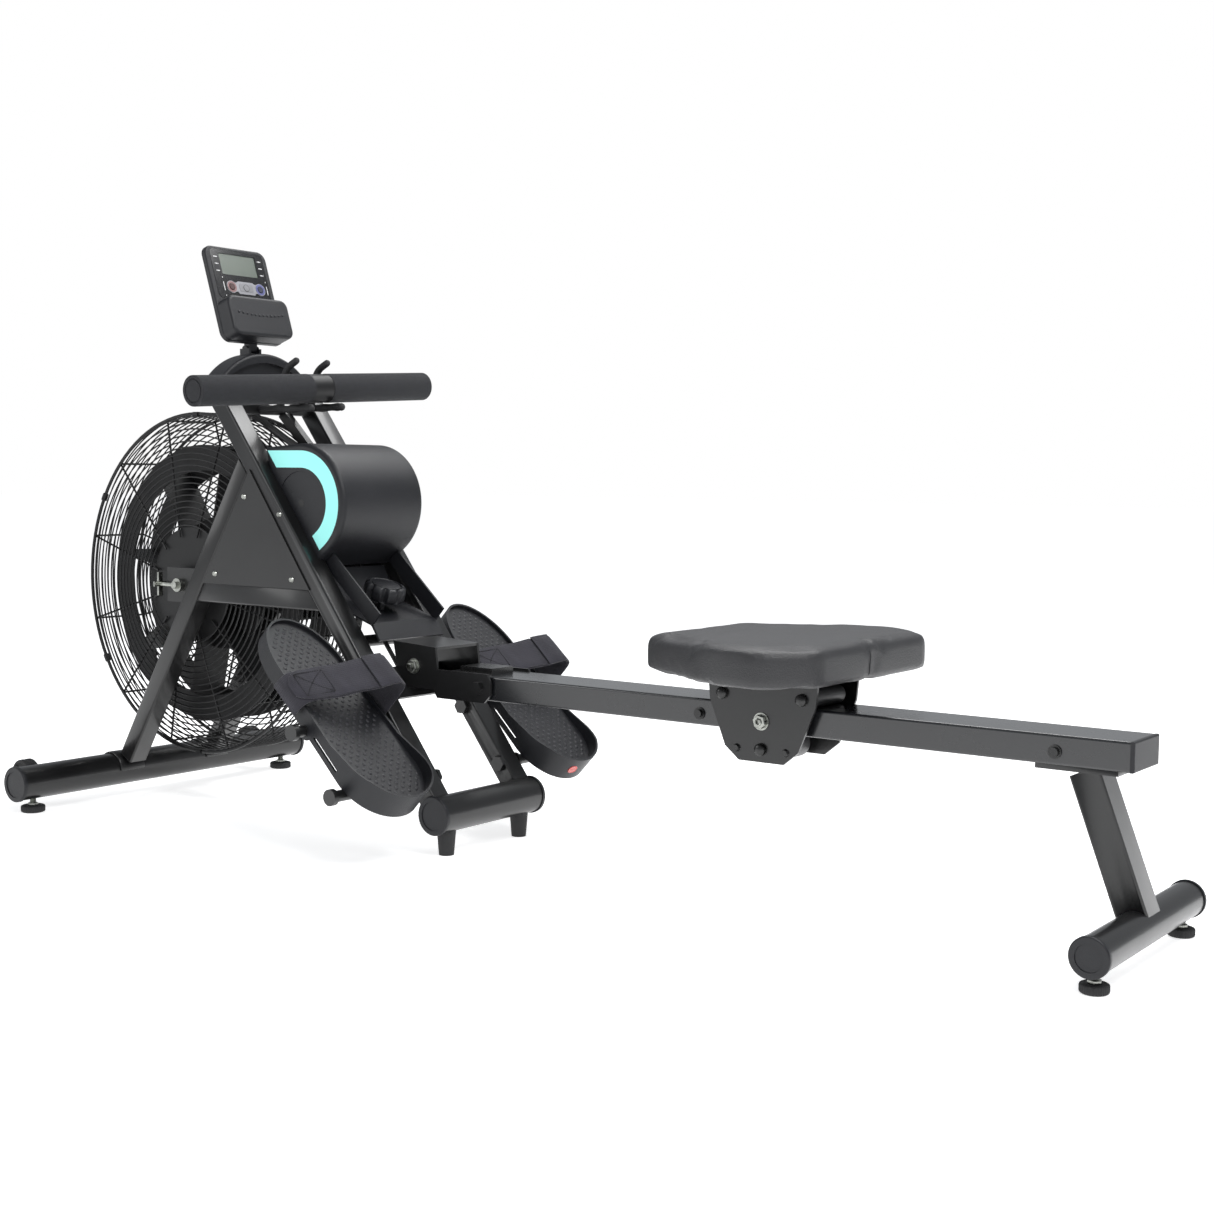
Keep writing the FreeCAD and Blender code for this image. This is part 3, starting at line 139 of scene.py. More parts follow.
PAINT_GRAIN = (("noise", 420.0, 0.6), ("noise", 90.0, 0.4))
FINISH = {
    "frame_paint": material("frame_paint", (0.0065, 0.0065, 0.0068), 0.34, grain=PAINT_GRAIN, coat=0.35,
                            depth=0.00010, gloss=0.42),
    "cage_wire": material("cage_wire", (0.006, 0.006, 0.0065), 0.45, grain=PAINT_GRAIN, depth=0.0001,
                          gloss=0.35),
    "zinc": material("zinc", (0.40, 0.41, 0.38), 0.32, metal=1.0, vary=0.3, spots=90.0,
                     grain=(("noise", 900.0, 1.0),), depth=0.0001),
    "shell_plastic": material("shell_plastic", (0.0115, 0.012, 0.0145), 0.44, vary=0.15, rough_vary=0.06,
                              gloss=0.4, depth=0.00018,
                              grain=(("cells", 1100.0, 0.7), ("noise", 1500.0, 0.5))),
    "gloss_black": material("gloss_black", (0.008, 0.0085, 0.010), 0.27, vary=0.1, rough_vary=0.05,
                            grain=(("noise", 60.0, 0.4),), coat=0.15, depth=0.0001),
    "teal_trim": material("teal_trim", (0.36, 0.95, 0.90), 0.38, vary=0.03, rough_vary=0.04,
                          grain=(("noise", 700.0, 1.0),), depth=0.0001),
    "fan_plastic": material("fan_plastic", (0.009, 0.009, 0.0095), 0.55, vary=0.2, gloss=0.35,
                            grain=(("noise", 500.0, 1.0),), depth=0.0002),
    "pulley_plastic": material("pulley_plastic", (0.03, 0.03, 0.031), 0.4, vary=0.15,
                               grain=(("noise", 600.0, 1.0),), depth=0.0002),
    "rubber": material("rubber", (0.016, 0.016, 0.017), 0.68, vary=0.25, spots=40.0,
                       grain=(("noise", 1300.0, 1.0),), depth=0.0003),
    "foam": material("foam", (0.0115, 0.012, 0.015), 0.85, vary=0.3, spots=180.0, sheen=0.12, gloss=0.3,
                     grain=(("cells", 1500.0, 1.0), ("noise", 700.0, 0.6)), depth=0.0006),
    "webbing": material("webbing", (0.029, 0.0275, 0.036), 0.86, vary=0.3, spots=45.0, sheen=0.2, uv=True,
                        grain=(("X", 330.0, 0.35), ("Y", 260.0, 0.5), ("noise", 900.0, 0.6)), depth=0.0004,
                        gloss=0.3),
    "strap_webbing": material("strap_webbing", (0.012, 0.012, 0.013), 0.8, vary=0.25, spots=35.0, uv=True,
                              sheen=0.2, grain=(("X", 210.0, 0.6), ("Y", 160.0, 0.6)), depth=0.0004),
    "seat_vinyl": material("seat_vinyl", (0.027, 0.027, 0.029), 0.46, vary=0.12, spots=9.0, rough_vary=0.06,
                           grain=(("cells", 520.0, 1.0), ("cells", 1300.0, 0.35), ("noise", 40.0, 0.4)),
                           depth=0.00035),
    "rail_paint": material("rail_paint", (0.0075, 0.008, 0.0095), 0.27, vary=0.15, rough_vary=0.06,
                           grain=PAINT_GRAIN, coat=0.7, depth=0.00008),
    "screen": material("screen", (0.105, 0.125, 0.104), 0.25, vary=0.05, rough_vary=0.03,
                       grain=(("noise", 80.0, 0.3),), coat=0.3, depth=0.00005),
    "button_red": material("button_red", (0.05, 0.015, 0.015), 0.4, grain=(("noise", 900.0, 1.0),),
                           depth=0.0001),
    "button_grey": material("button_grey", (0.22, 0.22, 0.235), 0.4, grain=(("noise", 900.0, 1.0),),
                            depth=0.0001),
    "button_blue": material("button_blue", (0.012, 0.016, 0.05), 0.4, grain=(("noise", 900.0, 1.0),),
                            depth=0.0001),
    "elastic": material("elastic", (0.014, 0.014, 0.014), 0.6, vary=0.4, spots=300.0,
                        grain=(("noise", 1600.0, 1.0),), depth=0.0005),
}
SILVER = material("silver_plate", (0.27, 0.27, 0.29), 0.35, metal=0.4, vary=0.08,
                  grain=(("noise", 900.0, 1.0),), depth=0.00005)
WHITE_MARK = material("white_mark", (0.75, 0.75, 0.75), 0.5, vary=0.05, grain=(("noise", 900.0, 1.0),),
                      depth=0.00005)
REFLECTOR = material("reflector_red", (0.55, 0.03, 0.02), 0.2, vary=0.2, spots=300.0, coat=0.6,
                     grain=(("cells", 900.0, 1.0),), depth=0.0004)
THREAD = material("thread", (0.009, 0.009, 0.010), 0.8, vary=0.3, spots=200.0,
                  grain=(("noise", 2500.0, 1.0),), depth=0.0003)
BLACK_BOLT = material("black_bolt", (0.012, 0.012, 0.012), 0.28, metal=0.3, vary=0.2, spots=90.0, coat=0.3,
                      grain=(("noise", 900.0, 1.0),), depth=0.0001)
RED_RING = material("red_ring", (0.22, 0.13, 0.13), 0.35, metal=0.3, vary=0.1, grain=(("noise", 900.0, 1.0),),
                    depth=0.00005)
BLUE_RING = material("blue_ring", (0.12, 0.13, 0.30), 0.35, metal=0.3, vary=0.1,
                     grain=(("noise", 900.0, 1.0),), depth=0.00005)
PANEL = material("panel_gloss", (0.006, 0.006, 0.007), 0.1, vary=0.1, rough_vary=0.04, coat=0.5,
                 grain=(("noise", 50.0, 0.4),), depth=0.00005)
SOLE = material("sole_rubber", (0.017, 0.017, 0.021), 0.5, vary=0.2, spots=30.0,
                grain=(("noise", 1100.0, 1.0),), depth=0.0003)

# ---- the CAD nodes that stay ----

SLOT_OF = {part["node"]: part["material_slot"] for part in frame["record"]["subparts"]}


def soften(obj, width):
    """Welds the shell and rounds its hard edges a little, so that they catch the light."""
    weld = obj.modifiers.new("weld", "WELD")
    weld.merge_threshold = 0.00002
    bevel = obj.modifiers.new("edge", "BEVEL")
    bevel.width = width
    bevel.segments = 2
    bevel.limit_method = "ANGLE"
    bevel.angle_limit = radians(32)
    bevel.harden_normals = True


BOXY = ("main_leg_left", "main_leg_right", "front_braces", "side_braces", "rear_leg")
TUBE_EDGE = 0.0014
for name, obj in nodes.items():
    slot_name = SLOT_OF.get(name)
    finish = FINISH.get(slot_name, FINISH["shell_plastic"])
    obj.data.materials.clear()
    obj.data.materials.append(finish)
    for face in obj.data.polygons:
        face.use_smooth = True
    obj.data.set_sharp_from_angle(angle=radians(30))
    if name in BOXY:
        soften(obj, TUBE_EDGE)
nodes["rail_fasteners"].data.materials[0] = BLACK_BOLT
nodes["handle_bar"].data.materials[0] = FINISH["cage_wire"]

# ---- mesh helpers ----


class Kit:
    """Collects several simple forms in one mesh."""

    def __init__(self):
        self.mesh = bmesh.new()
        self.uv = self.mesh.loops.layers.uv.new("UVMap")

    def grid(self, rows, close_u=False, close_v=False, cap=False, uv=None):
        """A skin over rows of points, each row as long as the others."""
        made = [[self.mesh.verts.new(p) for p in row] for row in rows]
        n, m = len(rows), len(rows[0])
        for i in range(n if close_v else n - 1):
            for j in range(m if close_u else m - 1):
                a, b = (i + 1) % n, (j + 1) % m
                face = self.mesh.faces.new((made[i][j], made[i][b], made[a][b], made[a][j]))
                if uv:
                    corners = ((i, j), (i, j + 1), (i + 1, j + 1), (i + 1, j))
                    for loop, (r, c) in zip(face.loops, corners):
                        loop[self.uv].uv = uv(r, c)
        if cap:
            self.mesh.faces.new(made[0][::-1])
            self.mesh.faces.new(made[-1])
        return made

    def tube(self, points, radius, sides=8, closed=False):
        """A round wire along points, with flat ends unless it is closed."""
        rows = []
        count = len(points)
        side = None
        for i, p in enumerate(points):
            before = points[i - 1] if i or closed else p
            after = points[(i + 1) % count] if i < count - 1 or closed else p
            ahead = (after - before).normalized()
            if side is None:
                side = ahead.orthogonal().normalized()
            side = (side - ahead * side.dot(ahead)).normalized()
            up = ahead.cross(side)
            size = radius(i / max(1, count - 1)) if callable(radius) else radius
            rows.append([p + (side * cos(t) + up * sin(t)) * size
                         for t in (2 * pi * k / sides for k in range(sides))])
        self.grid(rows, close_u=True, close_v=closed, cap=not closed)

    def turned(self, profile, base, axis, sides=32, shape=None):
        """A form turned about an axis through base; profile lists (radius, height) and closes on the axis."""
        axis = Vector(axis).normalized()
        across = axis.orthogonal().normalized()
        other = axis.cross(across)
        rows = []
        for radius, height in profile:
            row = []
            for k in range(sides):
                t = 2 * pi * k / sides
                r = shape(t, radius, height) if shape else radius
                row.append(base + axis * height + (across * cos(t) + other * sin(t)) * r)
            rows.append(row)
        self.grid(rows, close_u=True, cap=True)

    def block(self, centre, axes, half, round_off=0.0):
        """A brick about centre along three unit axes."""
        made = bmesh.ops.create_cube(self.mesh, size=2.0)
        turn = Matrix([list(a) for a in axes]).transposed()
        for v in made["verts"]:
            v.co = centre + turn @ Vector([v.co[i] * half[i] for i in range(3)])
        if round_off:
            edges = {e for v in made["verts"] for e in v.link_edges}
            bmesh.ops.bevel(self.mesh, geom=list(edges), offset=round_off, segments=2, affect="EDGES")

    def piece(self, name, finish, body, slot, smooth=35.0):
        bmesh.ops.recalc_face_normals(self.mesh, faces=self.mesh.faces)
        data = bpy.data.meshes.new(name)
        self.mesh.to_mesh(data)
        self.mesh.free()
        for face in data.polygons:
            face.use_smooth = True
        data.set_sharp_from_angle(angle=radians(smooth))
        data.materials.append(finish)
        obj = bpy.data.objects.new(name, data)
        bpy.context.scene.collection.objects.link(obj)
        if body:
            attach(obj, body)
        return obj


def smooth_line(points, steps):
    """A Catmull-Rom line through points."""
    ends = [points[0] * 2 - points[1]] + list(points) + [points[-1] * 2 - points[-2]]
    line = []
    for a, b, c, d in zip(ends, ends[1:], ends[2:], ends[3:]):
        for k in range(steps):
            t = k / steps
            line.append(0.5 * ((2 * b) + (c - a) * t + (2 * a - 5 * b + 4 * c - d) * t * t
                               + (3 * b - a - 3 * c + d) * t ** 3))
    line.append(points[-1].copy())
    return line


def round_outline(points, radii, steps=8):
    """A closed outline with rounded corners, as a list of (a, b)."""
    made = []
    count = len(points)
    for i in range(count):
        before, here, after = (Vector(points[(i + k) % count]) for k in (-1, 0, 1))
        to_before, to_after = (before - here).normalized(), (after - here).normalized()
        half = to_before.angle(to_after) / 2
        reach = min(radii[i] / tan(half), 0.49 * (before - here).length, 0.49 * (after - here).length)
        radius = reach * tan(half)
        middle = here + (to_before + to_after).normalized() * (radius / sin(half))
        start = here + to_before * reach - middle
        sweep = pi - 2 * half
        turn = 1 if to_before.x * to_after.y - to_before.y * to_after.x < 0 else -1
        for k in range(steps + 1):
            t = turn * sweep * k / steps
            made.append((middle.x + start.x * cos(t) - start.y * sin(t),
                         middle.y + start.x * sin(t) + start.y * cos(t)))
    return made


# ---- camera, light and floor ----

EYE = (1.54405, -1.8915, 0.550)
EYE_TURN, EYE_PITCH, EYE_ROLL = radians(36.43), radians(4.48), radians(0.516)
LENS = 50.35


def camera():
    """The eye stands to the rear left at chest height and looks a little down."""
    data = bpy.data.cameras.new("camera")
    data.sensor_width = 36.0
    data.lens = LENS
    obj = bpy.data.objects.new("camera", data)
    turn, pitch, roll = EYE_TURN, EYE_PITCH, EYE_ROLL
    ahead = Vector((-sin(turn) * cos(pitch), cos(turn) * cos(pitch), -sin(pitch)))
    right = Vector((cos(turn), sin(turn), 0))
    up = right.cross(ahead)
    across = right * cos(roll) + up * sin(roll)
    above = up * cos(roll) - right * sin(roll)
    rotation = Matrix((across, above, -ahead)).transposed().to_4x4()
    obj.matrix_world = Matrix.Translation(EYE) @ rotation
    bpy.context.scene.collection.objects.link(obj)
    bpy.context.scene.camera = obj


def area_light(name, place, target, size, power):
    """A white rectangular soft box that faces a target."""
    data = bpy.data.lights.new(name, "AREA")
    data.shape = "RECTANGLE"
    data.size, data.size_y = size
    data.energy = power
    obj = bpy.data.objects.new(name, data)
    obj.location = place
    obj.rotation_euler = (Vector(target) - Vector(place)).to_track_quat("-Z", "Y").to_euler()
    bpy.context.scene.collection.objects.link(obj)


BACKDROP = 1.0
SKY_LIGHT = 0.42
FLOOR_SIDE = 30.0
FLOOR_GLOW = 0.66


def studio():
    """A white room: bright backdrop, dimmer light in reflections, soft boxes above and beside."""
    world = bpy.data.worlds.new("studio")
    bpy.context.scene.world = world
    world.use_nodes = True
    tree = world.node_tree
    tree.nodes.clear()
    out = tree.nodes.new("ShaderNodeOutputWorld")
    mix = tree.nodes.new("ShaderNodeMixShader")
    path = tree.nodes.new("ShaderNodeLightPath")
    seen, felt = (tree.nodes.new("ShaderNodeBackground") for _ in range(2))
    seen.inputs["Color"].default_value = (1, 1, 1, 1)
    seen.inputs["Strength"].default_value = BACKDROP
    felt.inputs["Color"].default_value = (0.93, 0.96, 1, 1)
    felt.inputs["Strength"].default_value = SKY_LIGHT
    tree.links.new(path.outputs["Is Camera Ray"], mix.inputs["Fac"])
    tree.links.new(felt.outputs[0], mix.inputs[1])
    tree.links.new(seen.outputs[0], mix.inputs[2])
    tree.links.new(mix.outputs[0], out.inputs["Surface"])
    area_light("key", (1.9, -0.9, 2.7), (0, 0, 0.3), (1.4, 1.4), 52)
    area_light("top", (0.1, 1.2, 2.7), (0.1, 0, 0.2), (2.6, 1.2), 60)
    area_light("left", (-2.2, -2.2, 1.6), (-0.4, 0, 0.4), (0.9, 1.6), 16)

    data = bpy.data.meshes.new("floor")
    side = FLOOR_SIDE
    corners = [(-side, -side, 0), (side, -side, 0), (side, side, 0), (-side, side, 0)]
    data.from_pydata(corners, [], [(0, 1, 2, 3)])
    floor = bpy.data.objects.new("floor", data)
    floor.location.z = -0.0005
    paper = material("floor", (0.88, 0.88, 0.88), 0.9, vary=0.01, spots=2.0, grain=(("noise", 30.0, 1.0),),
                     depth=0.0001, gloss=0.0)
    shader = paper.node_tree.nodes["Principled BSDF"]
    shader.inputs["Emission Color"].default_value = (1, 1, 1, 1)
    shader.inputs["Emission Strength"].default_value = FLOOR_GLOW
    data.materials.append(paper)
    bpy.context.scene.collection.objects.link(floor)
    bpy.context.scene.view_settings.view_transform = "Standard"


camera()
studio()

# ---- fan guard ----

FAN = (150.0, 364.0)
CAGE_R = 281.0
HUB_R = 93.0
RIM_Y = 50.0
RING_SIDES = 96
RINGS = 19
SPOKES = 12
CLIPS = 6
BARREL_WIRES = 8
RING_WIRE_R = 1.25 * MM
SPOKE_WIRE_R = 1.7 * MM
RIM_WIRE_R = 2.8 * MM


def ring_points(radius, y):
    """A circle about the fan's axle."""
    return [at(FAN[0] + radius * cos(t), y, FAN[1] + radius * sin(t))
            for t in (2 * pi * k / RING_SIDES for k in range(RING_SIDES))]


def face_y(radius, hub_y):
    """How far the guard's coned face stands out at a radius."""
    share = (CAGE_R - 3 - radius) / (CAGE_R - 3 - HUB_R)
    return RIM_Y + (hub_y - RIM_Y) * share


def guard(side, hub_y, name):
    """One face of the guard: close concentric wires welded over a dozen radial ones."""
    kit = Kit()
    kit.tube(ring_points(CAGE_R - 3, side * RIM_Y), RIM_WIRE_R, 8, closed=True)
    for k in range(RINGS):
        radius = HUB_R + 4 + (CAGE_R - 12 - HUB_R) * k / (RINGS - 1)
        kit.tube(ring_points(radius, side * (face_y(radius, hub_y) + 3.2)), RING_WIRE_R, 6, closed=True)
    for k in range(SPOKES):
        angle = 2 * pi * (k + 0.5) / SPOKES
        ends = [at(FAN[0] + r * cos(angle), side * (face_y(r, hub_y) + 0.6), FAN[1] + r * sin(angle))
                for r in (HUB_R - 14, CAGE_R - 4)]
        kit.tube(ends, SPOKE_WIRE_R, 8)
    obj = kit.piece(name, FINISH["cage_wire"], "frame", "cage_wire")
    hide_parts("cage_left" if side < 0 else "cage_right")


def guard_barrel():
    """The wires round the edge of the guard, with the clips that join its two halves."""
    kit = Kit()
    for k in range(BARREL_WIRES):
        y = -RIM_Y + 2 * RIM_Y * (k + 0.9) / (BARREL_WIRES + 0.8)
        kit.tube(ring_points(CAGE_R - 1.6, y), RING_WIRE_R, 6, closed=True)
    for k in range(SPOKES):
        angle = 2 * pi * (k + 0.5) / SPOKES
        radius = CAGE_R - 4.4
        x, z = FAN[0] + radius * cos(angle), FAN[1] + radius * sin(angle)
        kit.tube([at(x, -RIM_Y, z), at(x, RIM_Y, z)], SPOKE_WIRE_R, 8)
    for k in range(CLIPS):
        angle = 2 * pi * (k + 0.5) / CLIPS
        out = Vector((cos(angle), 0, sin(angle)))
        along = Vector((-sin(angle), 0, cos(angle)))
        for y in (-RIM_Y, RIM_Y):
            centre = at(FAN[0] + (CAGE_R - 3.5) * cos(angle), y, FAN[1] + (CAGE_R - 3.5) * sin(angle))
            kit.block(centre, (out, along, Vector((0, 1, 0))), (0.0034, 0.007, 0.0042), 0.001)
    obj = kit.piece("guard_barrel_wires", FINISH["cage_wire"], "frame", "cage_wire")
    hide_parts("cage_barrel")


guard(-1, 67.0, "guard_near_wires")
guard(1, 55.0, "guard_far_wires")
guard_barrel()

# ---- console ----

LEAN = radians(18.2)
CONSOLE_OUT = Vector((cos(LEAN), 0, sin(LEAN)))
CONSOLE_UP = Vector((-sin(LEAN), 0, cos(LEAN)))


def on_console(y, z, out):
    """A place on the console's face: across, up and proud of it, in millimetres."""
    return at(238, 0, 757) + Vector((0, y * MM, 0)) + CONSOLE_UP * (z * MM) + CONSOLE_OUT * (out * MM)


def plate_with_holes(name, outlines, thick, lift, finish, body, place):
    """A thin plate from closed outlines; the first is its edge and the others its holes."""
    curve = bpy.data.curves.new(name, "CURVE")
    curve.dimensions = "2D"
    curve.fill_mode = "BOTH"
    for outline in outlines:
        spline = curve.splines.new("POLY")
        spline.points.add(len(outline) - 1)
        spline.use_cyclic_u = True
        for point, (a, b) in zip(spline.points, outline):
            point.co = (a, b, 0, 1)
    curve.extrude = thick / 2
    holder = bpy.data.objects.new(name + "_curve", curve)
    bpy.context.scene.collection.objects.link(holder)
    bpy.context.view_layer.update()
    data = bpy.data.meshes.new_from_object(holder.evaluated_get(bpy.context.evaluated_depsgraph_get()))
    bpy.data.objects.remove(holder)
    for v in data.vertices:
        v.co = place(v.co.x, v.co.y, lift + v.co.z)
    data.name = name
    data.materials.clear()
    data.materials.append(finish)
    obj = bpy.data.objects.new(name, data)
    bpy.context.scene.collection.objects.link(obj)
    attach(obj, body)
    return obj


def rect(y0, y1, z0, z1, radius):
    """A rectangle with rounded corners."""
    return round_outline([(y0, z0), (y1, z0), (y1, z1), (y0, z1)], [radius] * 4, 5)


def circle(y, z, radius):
    """A circle of 28 points."""
    return [(y + radius * cos(t), z + radius * sin(t)) for t in (2 * pi * k / 28 for k in range(28))]


BUTTONS = [5.0 + k * 30.0 for k in (-1, 0, 1)]
BUTTON_Z = 93
BUTTON_HOLE_R = 6.2


def key_plate():
    """Outline of the silver plate round the three keys."""
    left, mid, right = BUTTONS
    edge = []
    for k in range(15):
        t = radians(48 + 264 * k / 14)
        edge.append((left + 10.5 * cos(t), BUTTON_Z + 10.5 * sin(t)))
    edge += [(mid - 19, 85.5), (mid - 16, 82), (mid + 16, 82), (mid + 19, 85.5)]
    for k in range(15):
        t = radians(-132 + 264 * k / 14)
        edge.append((right + 10.5 * cos(t), BUTTON_Z + 10.5 * sin(t)))
    edge += [(mid + 19, 101), (mid + 15, 103.5), (mid - 15, 103.5), (mid - 19, 101)]
    return edge


def console_details():
    """The gloss panel, the key plate with its rings, the small white marks and the pocket's bumps."""
    screen = rect(-38, 38, 114, 150, 1.5)
    holes = [screen] + [circle(y, BUTTON_Z, BUTTON_HOLE_R) for y in BUTTONS]
    plate_with_holes("console_panel", [rect(-55.5, 55.5, 72, 157, 9)] + holes, 0.5, 0.28, PANEL, "console",
                     on_console)
    holes = [circle(y, BUTTON_Z, BUTTON_HOLE_R) for y in BUTTONS]
    plate_with_holes("key_plate", [key_plate()] + holes, 0.7, 0.85, SILVER, "console",
                     on_console)
    middle = [rect(-9, 19, 86.5, 99.5, 2.5), circle(BUTTONS[1], BUTTON_Z, BUTTON_HOLE_R)]
    plate_with_holes("middle_key_frame", middle, 0.5, 1.35, FINISH["button_grey"], "console",
                     on_console)
    rings = ((BUTTONS[0], RED_RING, "left", "button_red"), (BUTTONS[2], BLUE_RING, "right", "button_blue"))
    for y, finish, word, slot_name in rings:
        ring = [circle(y, BUTTON_Z, 9.4), circle(y, BUTTON_Z, BUTTON_HOLE_R)]
        plate_with_holes(f"key_ring_{word}", ring, 0.5, 1.35, finish, "console", on_console)
    marks = Kit()
    across, up, out = Vector((0, 1, 0)), CONSOLE_UP, CONSOLE_OUT
    for side in (-1, 1):
        for k in range(3):
            for part in range(3):
                y = side * 46 + (part - 1) * 2.6
                centre = on_console(y, 119 + 12 * k, 0.65)
                marks.block(centre, (across, up, out), (0.0010, 0.0007 + 0.0003 * (part % 2), 0.00012))
        middle = 5 + side * 45.5
        for z, half in ((77, 1.0), (93, 7.5), (108, 1.0)):
            marks.block(on_console(middle, z, 0.65), (across, up, out), (0.0006, half * MM, 0.00012))
    marks.piece("console_marks", WHITE_MARK, "console", "button_grey")
    bumps = Kit()
    for k in range(12):
        y = -46 + 92 * k / 11
        z = 36 + 3.5 * (y / 46) ** 2
        rows = [(2.3, 0.0), (2.1, 0.8), (1.4, 1.4), (0.3, 1.7)]
        bumps.turned([(r * MM, h * MM) for r, h in rows], on_console(y, z, 25.8), out, sides=10)
    bumps.piece("pocket_bumps", FINISH["shell_plastic"], "console", "shell_plastic")


console_details()

# ---- foot plates ----

SLOPE = radians(43.0)
TOE = (500.0, 336.0)
PEDAL_Y = 192.0


def on_pedal(side, u, v, w):
    """A place in a foot plate's frame: u from toe to heel, v to the right, w off the sole."""
    x = TOE[0] + u * cos(SLOPE) + w * sin(SLOPE)
    z = TOE[1] - u * sin(SLOPE) + w * cos(SLOPE)
    return at(x, side * PEDAL_Y + v, z)


U_AXIS = Vector((cos(SLOPE), 0, -sin(SLOPE)))
W_AXIS = Vector((sin(SLOPE), 0, cos(SLOPE)))
V_AXIS = Vector((0, 1, 0))


def in_sole(u, v, inset):
    """True inside the foot plate's outline less an inset."""
    toe_r, heel_r = 64.0 - inset, 71.0 - inset
    if u < 92:
        return ((u - 92) / (92 - inset)) ** 2 + (v / toe_r) ** 2 < 1
    if u > 283:
        return hypot(u - 283, v) < heel_r
    return abs(v) < toe_r + (heel_r - toe_r) * (u - 92) / 191


def sole_bumps(side, name):
    """The moulded grid of grip bumps on the sole."""
    kit = Kit()
    pitch_u, pitch_v = 8.0, 13.6
    for i in range(1, 44):
        for j in range(-5, 6):
            u = i * pitch_u
            v = (j + 0.5 * (i % 2)) * pitch_v
            if in_sole(u, v, 12):
                rows = [(3.1, 0.0), (2.7, 0.6), (1.7, 1.0), (0.5, 1.15)]
                kit.turned([(r * MM, h * MM) for r, h in rows], on_pedal(side, u, v, -6.1), W_AXIS, sides=8)
    kit.piece(f"sole_bumps_{name}", SOLE, f"pedal_{name}", "rubber", smooth=60)


STRAP_U = 150.0
STRAP_SKEW = 14.0
LAYER_LIFT = 2.9
PATCH_T = 2.4
BAND = [(-73, -18), (-72, -4), (-65, 9), (-40, 18), (0, 32), (32, 46), (55, 56), (67, 58), (74, 48), (75, 20),
        (74, -15)]


def band_rows(side, lift, start, stop, width, thick, rounded_end=False):
    """Cross-sections of a webbing layer along the strap, from share start to share stop of its line."""
    line = smooth_line([Vector((v, w, 0)) for v, w in BAND], 8)
    count = len(line)
    first, last = int(start * (count - 1)), int(stop * (count - 1))
    rows, length = [], 0.0
    for i in range(first, last + 1):
        here = line[i]
        ahead = (line[min(i + 1, count - 1)] - line[max(i - 1, 0)]).normalized()
        normal = Vector((-ahead.y, ahead.x))
        if i > first:
            length += (here - line[i - 1]).length
        half = width / 2
        if rounded_end:
            run = min(1.0, (length + 2.0) / 22.0)
            half *= max(0.35, (1 - (1 - run) ** 2) ** 0.5)
        skew = STRAP_SKEW * here.x / 71
        wave = 1.2 * sin(here.x * 0.11 + 1.0)
        section = []
        for a, h in ((-1, 0.25), (-0.965, 0), (-0.5, -0.25), (0, -0.3), (0.5, -0.25), (0.965, 0), (1, 0.25),
                     (1, 0.75), (0.965, 1), (0.5, 1.12), (0, 1.15), (-0.5, 1.12), (-0.965, 1), (-1, 0.75)):
            off = lift + thick * h
            edge = wave * a * a * (1 if a > 0 else -0.6)
            v = here.x + normal.x * (off + edge)
            w = here.y + normal.y * (off + edge)
            section.append((on_pedal(side, STRAP_U + skew + a * half, v, w), length))
        rows.append(section)
    return rows


def foot_strap(side, name):
    """Grey webbing over the foot, doubled on its right, with a stitched end on its left."""
    body = f"pedal_{name}"
    kit = Kit()

    def layer(lift, start, stop, width, thick, rounded_end=False):
        rows = band_rows(side, lift, start, stop, width, thick, rounded_end)
        count = len(rows[0])
        kit.grid([[p for p, _ in row] for row in rows], close_u=True, cap=True,
                 uv=lambda r, c: (width * MM * (c / count), rows[min(r, len(rows) - 1)][0][1] * MM))

    layer(0.0, 0.0, 1.0, 56.0, 2.4)
    layer(LAYER_LIFT, 0.16, 0.50, 54.0, PATCH_T, rounded_end=True)
    layer(LAYER_LIFT, 0.52, 0.66, 58.0, 2.6)
    obj = kit.piece(f"foot_strap_{name}", FINISH["webbing"], body, "webbing", smooth=50)
    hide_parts(f"pedal_strap_{name}")
    stitches = Kit()
    line = smooth_line([Vector((v, w, 0)) for v, w in BAND], 8)

    def spot(u, share):
        place = share * (len(line) - 1)
        i = min(int(place), len(line) - 2)
        here = line[i].lerp(line[i + 1], place - i)
        ahead = (line[i + 1] - line[i]).normalized()
        off = LAYER_LIFT + PATCH_T * 1.12 + 0.15
        along = STRAP_U + STRAP_SKEW * here.x / 71 + u
        return on_pedal(side, along, here.x - ahead.y * off, here.y + ahead.x * off)

    def stitch_line(a, b):
        count = max(2, int(abs(b[1] - a[1]) / 0.0085) + int(abs(b[0] - a[0]) / 3.4))
        for k in range(count):
            ends = []
            for t in ((k + 0.12) / count, (k + 0.78) / count):
                ends.append(spot(a[0] + (b[0] - a[0]) * t, a[1] + (b[1] - a[1]) * t))
            stitches.tube(ends, 0.55 * MM, 5)

    left, right = 0.21, 0.34
    for a, b in (((-20, left), (20, left)), ((-20, right), (20, right)), ((-20, left), (-20, right)),
                 ((20, left), (20, right)), ((-20, left), (20, right)), ((20, left), (-20, right))):
        stitch_line(a, b)
    stitches.piece(f"strap_stitches_{name}", THREAD, body, "webbing")


for direction, word in ((-1, "left"), (1, "right")):
    sole_bumps(direction, word)
    foot_strap(direction, word)

# ---- seat ----

SEAT_X = 1243.0
SEAM_Y = -14.0
SEAT_VOXEL = 0.005
CLOTH_FRAMES = 20
UNDERSIDE_Z = 0.2966
MOST_MOVE = 0.003
SIDE_SHARE = 0.25


